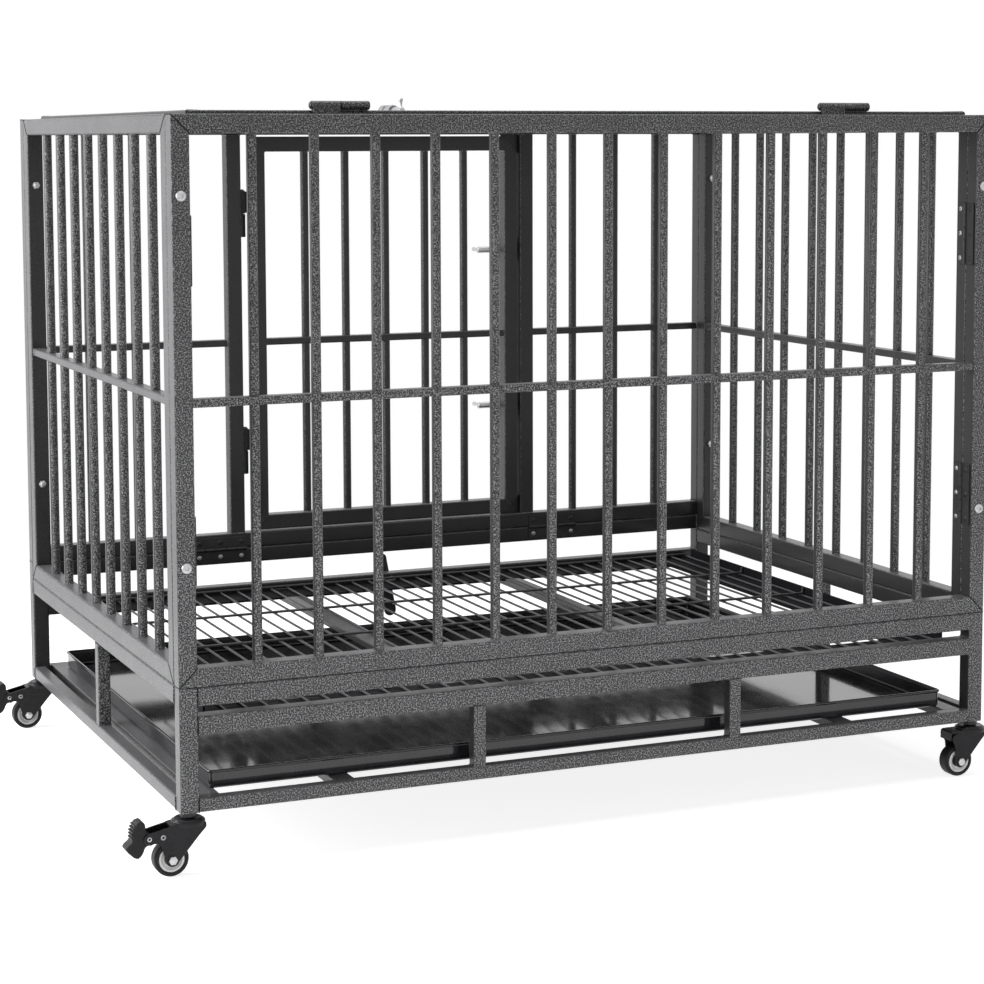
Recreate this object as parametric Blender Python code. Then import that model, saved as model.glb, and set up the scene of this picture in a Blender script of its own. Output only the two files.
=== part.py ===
"""Heavy square-tube dog crate on four casters.

The crate is built as its real one is: four barred panels of mitred square tube stand on a
welded base, a hinged barred lid closes the top, and a barred door with two slide bolts closes
the long side at the back. A welded wire floor and a sheet-metal tray lie in the base.

Lengths are metres. X runs along the crate, Y from the long side without a door to the long
side with it, and Z up. The crate is drawn about its own centre, then everything hangs on one
empty that puts the origin under the middle of the whole object.
"""

import math

import bmesh
import bpy
from mathutils import Matrix, Vector

# Clearances
TOUCH = 0.0003
RUNNING_CLEARANCE = 0.0004
WELD_DEPTH = 0.004
FINE = 0.0001

# Overall sizes
CRATE_LENGTH = 1.090
CRATE_WIDTH = 0.777
CASTER_HEIGHT = 0.072
BASE_HEIGHT = 0.145
PANEL_HEIGHT = 0.6497

# Tube and bar stock
TUBE = 0.022
TUBE_EDGE = 0.0013
SMALL_TUBE = 0.016
SMALL_EDGE = 0.0010
BAR_DIAMETER = 0.012
BAR_SIDES = 8
MID_BAR_HEIGHT = 0.010
MID_BAR_DEPTH = 0.016

# Bars in each panel
FRONT_BARS = 13
SIDE_BARS = 8
BACK_BARS_EACH_SIDE = 3
DOOR_BARS = 5
LID_BARS = 13

# Base frame
SECOND_RAIL_DROP = 0.011
FLOOR_BAR_WIDTH = 0.025
FLOOR_BAR_HEIGHT = 0.011
LEDGE_SHEET = 0.003
LEDGE_WIDTH = 0.062
LEDGE_END_GAP = 0.016
LEDGE_LIP = 0.0135
TRAY_BAR_WIDTH = 0.025
TRAY_BAR_INSET = 0.203
END_BAR_WIDTH = 0.016

# Floor grid of welded wire
FLOOR_WIRE = 0.0032
CARRIER_WIRE = 0.0036
FLOOR_WIRE_PITCH = 0.026
GRID_EDGE_GAP = 0.004
CARRIERS_INSIDE = 3
WIRE_END_RISE = 0.006

# Tray
TRAY_LENGTH = 1.006
TRAY_DEPTH = 0.713
TRAY_HEIGHT = 0.0225
TRAY_SHEET = 0.0015
TRAY_HEM = 0.0035

# Door in the back panel
DOOR_OPENING = 0.444
DOOR_OPENING_CENTRE = -0.007
DOOR_HINGE_GAP = 0.015
DOOR_LATCH_GAP = 0.004
DOOR_END_GAP = 0.0025
DOOR_CORNER_CUT = 0.026
GUSSET_GAP = 0.0020
GUSSET_THICKNESS = 0.003

# Weld-on barrel hinges of the door and the lid
DOOR_BARREL_RADIUS = 0.0055
DOOR_BARREL_LENGTH = 0.068
DOOR_HINGE_HEIGHTS = (0.380, 0.730)
DOOR_AXIS_OUT = 0.001
LID_BARREL_RADIUS = 0.0052
LID_BARREL_LENGTH = 0.071
LID_HINGE_SPREAD = 0.337
HINGE_PIN_RADIUS = 0.0024
PIN_HEAD_RADIUS = 0.0040
PIN_HEAD_HEIGHT = 0.0016
BARREL_SIDES = 12
HINGE_WEB = 0.004

# Lid
LID_GAP = 0.003
LID_PROUD = 0.0045
LID_LEDGE_LENGTH = 0.040
LID_LEDGE_REACH = 0.014
LID_LEDGE_THICKNESS = 0.003
LID_LEDGE_SPREAD = 0.380

# Slide bolts of the door and the lid
BOLT_RADIUS = 0.0050
BOLT_BORE = 0.0056
BOLT_AXIS_HEIGHT = 0.0085
GUIDE_RADIUS = 0.0084
GUIDE_PLATE = 0.0020
GUIDE_LENGTH = 0.026
GUIDE_HALF_HEIGHT = 0.019
KEEPER_LENGTH = 0.018
KEEPER_HALF_HEIGHT = 0.015
DOOR_BOLT_HEIGHTS = (0.429, 0.669)
BOLT_THROW = 0.022
BOLT_KNOB_RADIUS = 0.0032
BOLT_KNOB_LENGTH = 0.022
LID_GUIDE_LENGTH = 0.020
LID_BOLT_THROW = 0.026
LID_KNOB_LENGTH = 0.013

# Butt hinges over the folding seams
LEAF_LENGTH = 0.080
LEAF_WIDTH = 0.036
LEAF_THICKNESS = 0.0016
KNUCKLE_RADIUS = 0.0026
FOLD_HINGE_HEIGHTS = (0.3735, 0.7140)
BASE_HINGE_SPREAD = 0.268

# Corner bolts
CORNER_BOLT_HEIGHTS = (0.3555, 0.7756)
CORNER_BOLT_RADIUS = 0.0030
CORNER_BOLT_HOLE = 0.0035
CORNER_BOLT_HEAD = 0.0058
CORNER_BOLT_PROUD = 0.0028
CORNER_NUT_RADIUS = 0.0052
CORNER_NUT_HEIGHT = 0.0040

# Tray lock lever on the back second rail
LEVER_LENGTH = 0.097
LEVER_TOP_WIDTH = 0.011
LEVER_LOW_WIDTH = 0.019
LEVER_THICKNESS = 0.004
LEVER_LEAN = 8.0
LEVER_TIP_GAP = 0.0022
LOCK_PIVOT_RADIUS = 0.0030
LOCK_PIVOT_HOLE = 0.0035
LOCK_PIVOT_HEAD = 0.0065
LOCK_PIVOT_HEAD_HEIGHT = 0.0025

# Casters
WHEEL_RADIUS = 0.0205
TYRE_WIDTH = 0.018
TYRE_THICKNESS = 0.0052
TYRE_SIDES = 20
CORE_WIDTH = 0.0165
HUB_RADIUS = 0.0080
HUB_WIDTH = 0.0196
AXLE_RADIUS = 0.0030
AXLE_HOLE = 0.0036
CASTER_TRAIL = 0.022
FORK_WALL = 0.0020
FORK_HUB_GAP = 0.0006
FORK_TOP = 0.0620
FORK_PLATE = 0.0040
FORK_HEAD_RADIUS = 0.0205
RACE_RADIUS = 0.0170
RACE_TOP = 0.0660
FORK_LIP_REACH = -0.0380
FORK_LIP_LOW = 0.0490
STEM_RADIUS = 0.0050
STEM_HOLE = 0.0056
STEM_RIVET_RADIUS = 0.0078
STEM_RIVET_HEIGHT = 0.0022
STEM_COLLAR_RADIUS = 0.0092
STEM_DEPTH = 0.026
NUT_RADIUS = 0.0052
NUT_HEIGHT = 0.0032
BRAKE_PIN_PROUD = 0.0008
BRAKE_PIVOT = (-0.0488, 0.0478)
BRAKE_SLOT_END = -0.0240
BRAKE_HOLE = 0.0030
BRAKE_PIN_RADIUS = 0.0026
BRAKE_CAM_GAP = 0.0004

# Colours from the photograph, as linear red, green and blue
HAMMERTONE = (0.105, 0.105, 0.112)
BRIGHT_STEEL = (0.60, 0.60, 0.62)
BLACK_SHEET = (0.018, 0.018, 0.021)
BLACK_PAINT = (0.022, 0.022, 0.024)
WHITE_PLASTIC = (0.62, 0.62, 0.62)
BLACK_RUBBER = (0.016, 0.016, 0.017)

# Levels and faces worked out from the sizes above
BASE_BOTTOM = CASTER_HEIGHT
BASE_TOP = BASE_BOTTOM + BASE_HEIGHT
BACK_BASE_TOP = BASE_TOP + TUBE
PANEL_BOTTOM = BASE_TOP + TOUCH
BACK_PANEL_BOTTOM = BACK_BASE_TOP + TOUCH
PANEL_TOP = PANEL_BOTTOM + PANEL_HEIGHT
PANEL_MIDDLE = (PANEL_BOTTOM + PANEL_TOP) / 2
LID_TOP = PANEL_TOP + LID_PROUD
LID_BOTTOM = LID_TOP - TUBE
SECOND_RAIL_TOP = BASE_TOP - TUBE - SECOND_RAIL_DROP
SECOND_RAIL_BOTTOM = SECOND_RAIL_TOP - TUBE
LOW_RAIL_TOP = BASE_BOTTOM + SMALL_TUBE
FLOOR_BAR_TOP = SECOND_RAIL_BOTTOM + FLOOR_BAR_HEIGHT
TRAY_BOTTOM = LOW_RAIL_TOP + TOUCH
END_X = CRATE_LENGTH / 2
FACE_Y = CRATE_WIDTH / 2
INNER_X = END_X - TUBE
INNER_Y = FACE_Y - TUBE
OPENING_LEFT = DOOR_OPENING_CENTRE - DOOR_OPENING / 2
OPENING_RIGHT = DOOR_OPENING_CENTRE + DOOR_OPENING / 2
DOOR_LEFT = OPENING_LEFT + DOOR_HINGE_GAP
DOOR_RIGHT = OPENING_RIGHT - DOOR_LATCH_GAP
DOOR_BOTTOM = BACK_PANEL_BOTTOM + TUBE + DOOR_END_GAP
DOOR_TOP = PANEL_TOP - TUBE - DOOR_END_GAP
DOOR_AXIS = (OPENING_LEFT + DOOR_HINGE_GAP / 2, FACE_Y + DOOR_AXIS_OUT)
LID_AXIS = (-INNER_Y + LID_GAP / 2, LID_TOP + LID_BARREL_RADIUS + TOUCH)

# How the plane of a flat frame lies: its along, across and thickness directions
UPRIGHT_X = Matrix(((1, 0, 0), (0, 0, 1), (0, 1, 0)))
UPRIGHT_Y = Matrix(((0, 0, 1), (1, 0, 0), (0, 1, 0)))
LEVEL = Matrix(((1, 0, 0), (0, 1, 0), (0, 0, 1)))
AXES = {"X": Vector((1, 0, 0)), "Y": Vector((0, 1, 0)), "Z": Vector((0, 0, 1))}


def clear_scene():
    for item in list(bpy.data.objects):
        bpy.data.objects.remove(item, do_unlink=True)
    for mesh in list(bpy.data.meshes):
        bpy.data.meshes.remove(mesh)


def finish_material(name, colour, roughness, metallic):
    material = bpy.data.materials.get(name) or bpy.data.materials.new(name)
    material.use_nodes = True
    shader = material.node_tree.nodes["Principled BSDF"]
    shader.inputs["Base Color"].default_value = (*colour, 1.0)
    shader.inputs["Roughness"].default_value = roughness
    shader.inputs["Metallic"].default_value = metallic
    material.diffuse_color = (*colour, 1.0)
    return material


def new_object(name, points, faces):
    """An object whose closed shells all face outward."""
    mesh = bpy.data.meshes.new(name)
    mesh.from_pydata([tuple(point) for point in points], [], faces)
    shape = bmesh.new()
    shape.from_mesh(mesh)
    bmesh.ops.remove_doubles(shape, verts=shape.verts, dist=1e-6)
    bmesh.ops.recalc_face_normals(shape, faces=shape.faces)
    shape.to_mesh(mesh)
    shape.free()
    item = bpy.data.objects.new(name, mesh)
    bpy.context.scene.collection.objects.link(item)
    return item


def loft(name, rings, closed_loop=False):
    """Skin a list of rings with equal counts; the ends are capped unless the rings form a loop."""
    points = [point for ring in rings for point in ring]
    count = len(rings[0])
    faces = []
    spans = len(rings) if closed_loop else len(rings) - 1
    for step in range(spans):
        low = step * count
        high = ((step + 1) % len(rings)) * count
        for side in range(count):
            after = (side + 1) % count
            faces.append((low + side, low + after, high + after, high + side))
    if not closed_loop:
        faces.append(tuple(reversed(range(count))))
        faces.append(tuple(range((len(rings) - 1) * count, len(rings) * count)))
    return new_object(name, points, faces)


def extrude(name, outline, plane, low, high):
    """A prism: the outline lies in the plane's first two directions, and runs along its third."""
    rings = [[plane @ Vector((u, w, depth)) for u, w in outline] for depth in (low, high)]
    return loft(name, rings)


def block(name, low, high):
    outline = ((low[0], low[1]), (high[0], low[1]), (high[0], high[1]), (low[0], high[1]))
    return extrude(name, outline, LEVEL, low[2], high[2])


def edged_square(centre_u, centre_w, size, edge):
    """A square section whose four corners are taken off."""
    half = size / 2
    near = half - edge
    corners = (
        (-near, -half), (near, -half), (half, -near), (half, near),
        (near, half), (-near, half), (-half, near), (-half, -near),
    )
    return [(centre_u + u, centre_w + w) for u, w in corners]


def square_rod(name, axis, low, high, centre_u, centre_w, size, edge):
    """A square tube along X, Y or Z; its centre is given in the other two directions, in order."""
    section = edged_square(centre_u, centre_w, size, edge)
    rings = []
    for along in (low, high):
        if axis == "X":
            rings.append([Vector((along, u, w)) for u, w in section])
        elif axis == "Y":
            rings.append([Vector((u, along, w)) for u, w in section])
        else:
            rings.append([Vector((u, w, along)) for u, w in section])
    return loft(name, rings)


def circle(radius, sides, centre=(0.0, 0.0), turn=0.5):
    """Points of a circle; a turn of a half puts a flat side, not a corner, at its four quarters."""
    step = 2 * math.pi / sides
    return [
        (centre[0] + radius * math.cos(step * (k + turn)), centre[1] + radius * math.sin(step * (k + turn)))
        for k in range(sides)
    ]


def cylinder(name, start, end, radius, sides, turn=0.5):
    start, end = Vector(start), Vector(end)
    along = (end - start).normalized()
    side = along.orthogonal().normalized()
    if abs(along.z) < 0.5:
        side = along.cross(AXES["Z"]).normalized()
    up = side.cross(along)
    rings = []
    for centre in (start, end):
        rings.append([centre + side * u + up * w for u, w in circle(radius, sides, turn=turn)])
    return loft(name, rings)


def turned(name, start, axis, profile, sides):
    """A solid of revolution: the profile lists distance along the axis and radius, end to end."""
    start = Vector(start)
    along = AXES[axis]
    side = AXES["X"] if axis != "X" else AXES["Y"]
    up = along.cross(side)
    rings = []
    for distance, radius in profile:
        ring = [start + along * distance + side * u + up * w for u, w in circle(radius, sides)]
        rings.append(ring)
    return loft(name, rings)


def turned_ring(name, start, axis, profile, sides):
    """A ring of revolution: the profile is a closed outline that stays clear of the axis."""
    start = Vector(start)
    along = AXES[axis]
    side = AXES["X"] if axis != "X" else AXES["Y"]
    up = along.cross(side)
    step = 2 * math.pi / sides
    rings = []
    for k in range(sides):
        turn = step * (k + 0.5)
        outward = side * math.cos(turn) + up * math.sin(turn)
        rings.append([start + along * distance + outward * radius for distance, radius in profile])
    return loft(name, rings, closed_loop=True)


def mitred_frame(name, plane, low, high, middle, size, edge):
    """A rectangular frame of square tube, mitred at its corners and drawn by its outer size."""
    half = size / 2
    corners = (
        (low[0] + half, low[1] + half, -1, -1),
        (high[0] - half, low[1] + half, 1, -1),
        (high[0] - half, high[1] - half, 1, 1),
        (low[0] + half, high[1] - half, -1, 1),
    )
    section = edged_square(0.0, middle, size, edge)
    rings = []
    for u, w, outward_u, outward_w in corners:
        ring = [plane @ Vector((u + outward_u * out, w + outward_w * out, depth)) for out, depth in section]
        rings.append(ring)
    return loft(name, rings, closed_loop=True)


def gather(pieces):
    """Put several pieces that don't touch into one object, to be joined or cut in one step."""
    first = pieces[0]
    shape = bmesh.new()
    for piece in pieces:
        shape.from_mesh(piece.data)
    shape.to_mesh(first.data)
    shape.free()
    for piece in pieces[1:]:
        bpy.data.objects.remove(piece, do_unlink=True)
    return first


def combine(target, tool, operation):
    """Apply an exact Boolean with a tool, or with a list of tools that don't touch each other."""
    if isinstance(tool, (list, tuple)):
        tool = gather(list(tool))
    step = target.modifiers.new("combine", "BOOLEAN")
    step.operation = operation
    step.solver = "EXACT"
    step.object = tool
    bpy.context.view_layer.update()
    graph = bpy.context.evaluated_depsgraph_get()
    result = bpy.data.meshes.new_from_object(target.evaluated_get(graph))
    target.modifiers.clear()
    target.data = result
    bpy.data.objects.remove(tool, do_unlink=True)
    return target


def join(target, tool):
    return combine(target, tool, "UNION")


def cut(target, tool):
    return combine(target, tool, "DIFFERENCE")


def spread(low, high, count):
    """Places of evenly spread pieces between two faces, with equal gaps at the ends."""
    return [low + (high - low) * (k + 1) / (count + 1) for k in range(count)]


def bars_between(plane, places, low, high, middle):
    """Round bars that sink into the rails at both ends."""
    bars = []
    for place in places:
        outline = circle(BAR_DIAMETER / 2, BAR_SIDES, (place, middle))
        rings = []
        for across in (low - WELD_DEPTH, high + WELD_DEPTH):
            rings.append([plane @ Vector((u, across, depth)) for u, depth in outline])
        bars.append(loft("bar", rings))
    return bars


def mid_bar(plane, low, high, level, middle):
    """The thin rail through the middle of the bars, sunk into the tube at both ends."""
    half = MID_BAR_HEIGHT / 2
    edges = (low - WELD_DEPTH, high + WELD_DEPTH)
    outline = (
        (edges[0], level - half), (edges[1], level - half), (edges[1], level + half),
        (edges[0], level + half),
    )
    return extrude("mid_bar", outline, plane, middle - MID_BAR_DEPTH / 2, middle + MID_BAR_DEPTH / 2)


def barred_panel(name, plane, low, high, middle, bar_count, mid_level):
    """A mitred frame with upright bars and one thin rail through them."""
    panel = mitred_frame(name, plane, low, high, middle, TUBE, TUBE_EDGE)
    places = spread(low[0] + TUBE, high[0] - TUBE, bar_count)
    join(panel, bars_between(plane, places, low[1] + TUBE, high[1] - TUBE, middle))
    join(panel, mid_bar(plane, low[0] + TUBE, high[0] - TUBE, mid_level, middle))
    return panel


def corner_bolt_holes(x_side, y_low, y_high):
    holes = []
    for level in CORNER_BOLT_HEIGHTS:
        start = (x_side * (END_X - TUBE / 2), y_low, level)
        end = (x_side * (END_X - TUBE / 2), y_high, level)
        holes.append(cylinder("hole", start, end, CORNER_BOLT_HOLE, 8))
    return holes


def lid_knuckle(x_low, x_high, reach):
    """One bored knuckle on the lid's axis, with the web that welds it to a rail on its own side."""
    y, z = LID_AXIS
    knuckle = cylinder("knuckle", (x_low, y, z), (x_high, y, z), LID_BARREL_RADIUS, BARREL_SIDES)
    web_low = min(y, y + reach)
    web_high = max(y, y + reach)
    floor = PANEL_TOP if reach < 0 else LID_TOP
    web = block(
        "web", (x_low + TUBE_EDGE, web_low, floor - TUBE_EDGE), (x_high - TUBE_EDGE, web_high, z - FINE),
    )
    join(knuckle, web)
    bore = cylinder(
        "bore", (x_low - FINE, y, z), (x_high + FINE, y, z), HINGE_PIN_RADIUS + RUNNING_CLEARANCE,
        BARREL_SIDES,
    )
    return cut(knuckle, bore)


def lid_hinge_span(side):
    centre = side * LID_HINGE_SPREAD
    return centre - LID_BARREL_LENGTH / 2, centre, centre + LID_BARREL_LENGTH / 2


def front_panel():
    low, high = (-END_X, PANEL_BOTTOM), (END_X, PANEL_TOP)
    panel = barred_panel("front_panel", UPRIGHT_X, low, high, -FACE_Y + TUBE / 2, FRONT_BARS, PANEL_MIDDLE)
    knuckles = []
    for side in (-1, 1):
        start, middle, _ = lid_hinge_span(side)
        knuckles.append(lid_knuckle(start, middle - TOUCH, -(LID_BARREL_RADIUS + TUBE_EDGE)))
    join(panel, knuckles)
    holes = []
    for side in (-1, 1):
        holes += corner_bolt_holes(side, -FACE_Y - TUBE, -INNER_Y + TUBE / 2)
    return cut(panel, holes)


def side_panel(name, side):
    low = (-INNER_Y + TOUCH, PANEL_BOTTOM)
    high = (INNER_Y - TOUCH, PANEL_TOP)
    panel = barred_panel(name, UPRIGHT_Y, low, high, side * (END_X - TUBE / 2), SIDE_BARS, PANEL_MIDDLE)
    holes = corner_bolt_holes(side, -FACE_Y, -INNER_Y + 2 * TUBE)
    holes += corner_bolt_holes(side, INNER_Y - 2 * TUBE, FACE_Y)
    return cut(panel, holes)


def door_knuckle(z_low, z_high, reach):
    """One bored knuckle on the door's axis, with the web that welds it to the jamb or the stile."""
    x, y = DOOR_AXIS
    knuckle = cylinder("knuckle", (x, y, z_low), (x, y, z_high), DOOR_BARREL_RADIUS, BARREL_SIDES)
    x_low = min(x, x + reach)
    x_high = max(x, x + reach)
    front = FACE_Y - TUBE_EDGE - FINE
    web = block("web", (x_low, front - HINGE_WEB, z_low + TUBE_EDGE), (x_high, front, z_high - TUBE_EDGE))
    join(knuckle, web)
    bore = cylinder(
        "bore", (x, y, z_low - FINE), (x, y, z_high + FINE), HINGE_PIN_RADIUS + RUNNING_CLEARANCE,
        BARREL_SIDES,
    )
    return cut(knuckle, bore)


def gusset(corner_x, corner_z, out_x, out_z):
    """A triangular plate in a corner of the door opening, behind the door's cut corner."""
    leg = DOOR_CORNER_CUT + DOOR_LATCH_GAP + DOOR_END_GAP - GUSSET_GAP * math.sqrt(2)
    root = WELD_DEPTH / 2
    outline = (
        (corner_x + out_x * root, corner_z + out_z * root),
        (corner_x - out_x * leg, corner_z + out_z * root),
        (corner_x - out_x * leg, corner_z),
        (corner_x, corner_z - out_z * leg),
        (corner_x + out_x * root, corner_z - out_z * leg),
    )
    middle = FACE_Y - TUBE / 2
    return extrude(
        "gusset", outline, UPRIGHT_X, middle - GUSSET_THICKNESS / 2, middle + GUSSET_THICKNESS / 2,
    )


def back_panel():
    middle = FACE_Y - TUBE / 2
    rail_top = BACK_PANEL_BOTTOM + TUBE
    rail_under = PANEL_TOP - TUBE
    panel = mitred_frame(
        "back_panel", UPRIGHT_X, (-END_X, BACK_PANEL_BOTTOM), (END_X, PANEL_TOP), middle, TUBE, TUBE_EDGE
    )
    jambs = []
    for x in (OPENING_LEFT - TUBE / 2, OPENING_RIGHT + TUBE / 2):
        jambs.append(
            square_rod("jamb", "Z", rail_top - WELD_DEPTH, rail_under + WELD_DEPTH, x, middle, TUBE, TUBE_EDGE),
        )
    join(panel, jambs)
    spans = ((-INNER_X, OPENING_LEFT - TUBE), (OPENING_RIGHT + TUBE, INNER_X))
    bars, rails = [], []
    for start, end in spans:
        bars += bars_between(
            UPRIGHT_X, spread(start, end, BACK_BARS_EACH_SIDE), rail_top, rail_under, middle,
        )
        rails.append(mid_bar(UPRIGHT_X, start, end, PANEL_MIDDLE, middle))
    join(panel, bars)
    join(panel, rails)
    join(panel, [
        gusset(OPENING_RIGHT, rail_top, 1, -1),
        gusset(OPENING_RIGHT, rail_under, 1, 1),
    ])
    knuckles = []
    for level in DOOR_HINGE_HEIGHTS:
        reach = -(DOOR_HINGE_GAP / 2 + WELD_DEPTH)
        knuckles.append(door_knuckle(level - DOOR_BARREL_LENGTH / 2, level - TOUCH, reach))
    join(panel, knuckles)
    ledges = []
    for side in (-1, 1):
        centre = side * LID_LEDGE_SPREAD
        top = LID_BOTTOM - TOUCH
        ledges.append(block(
            "ledge",
            (centre - LID_LEDGE_LENGTH / 2, INNER_Y - LID_LEDGE_REACH, top - LID_LEDGE_THICKNESS),
            (centre + LID_LEDGE_LENGTH / 2, INNER_Y + WELD_DEPTH, top),
        ))
    join(panel, ledges)
    holes = []
    for side in (-1, 1):
        holes += corner_bolt_holes(side, INNER_Y - TUBE / 2, FACE_Y + TUBE)
    return cut(panel, holes)


def back_door():
    middle = FACE_Y - TUBE / 2
    low, high = (DOOR_LEFT, DOOR_BOTTOM), (DOOR_RIGHT, DOOR_TOP)
    door = barred_panel("back_door", UPRIGHT_X, low, high, middle, DOOR_BARS, PANEL_MIDDLE)
    cutters = []
    for level, inward in ((DOOR_BOTTOM, 1), (DOOR_TOP, -1)):
        size = DOOR_CORNER_CUT
        outline = (
            (DOOR_RIGHT - size, level),
            (DOOR_RIGHT - size, level - inward * TUBE),
            (DOOR_RIGHT + TUBE, level - inward * TUBE),
            (DOOR_RIGHT + TUBE, level + inward * size),
            (DOOR_RIGHT, level + inward * size),
        )
        cutters.append(extrude("cutter", outline, UPRIGHT_X, INNER_Y - TUBE, FACE_Y + TUBE))
    cut(door, cutters)
    knuckles = []
    for level in DOOR_HINGE_HEIGHTS:
        reach = DOOR_HINGE_GAP / 2 + WELD_DEPTH
        knuckles.append(door_knuckle(level + TOUCH, level + DOOR_BARREL_LENGTH / 2, reach))
    return join(door, knuckles)


def lid():
    reach_x = INNER_X - LID_GAP
    reach_y = INNER_Y - LID_GAP
    panel = mitred_frame(
        "lid", LEVEL, (-reach_x, -reach_y), (reach_x, reach_y), LID_TOP - TUBE / 2, TUBE, TUBE_EDGE
    )
    places = spread(-reach_x + TUBE, reach_x - TUBE, LID_BARS)
    middle = LID_TOP - TUBE / 2
    join(panel, bars_between(LEVEL, places, -reach_y + TUBE, reach_y - TUBE, middle))
    join(panel, mid_bar(LEVEL, -reach_x + TUBE, reach_x - TUBE, 0.0, middle))
    knuckles = []
    for side in (-1, 1):
        _, centre, end = lid_hinge_span(side)
        knuckles.append(lid_knuckle(centre + TOUCH, end, LID_BARREL_RADIUS + TUBE_EDGE))
    return join(panel, knuckles)


def hinge_pin(name, start, end):
    """A headed pin; the head sits on the knuckle at its start."""
    start, end = Vector(start), Vector(end)
    along = (end - start).normalized()
    head_low = start - along * (PIN_HEAD_HEIGHT + TOUCH)
    head_high = start - along * TOUCH
    pin = cylinder(name, head_high - along * FINE, end, HINGE_PIN_RADIUS, 12)
    return join(pin, cylinder("head", head_low, head_high, PIN_HEAD_RADIUS, 12))


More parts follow.
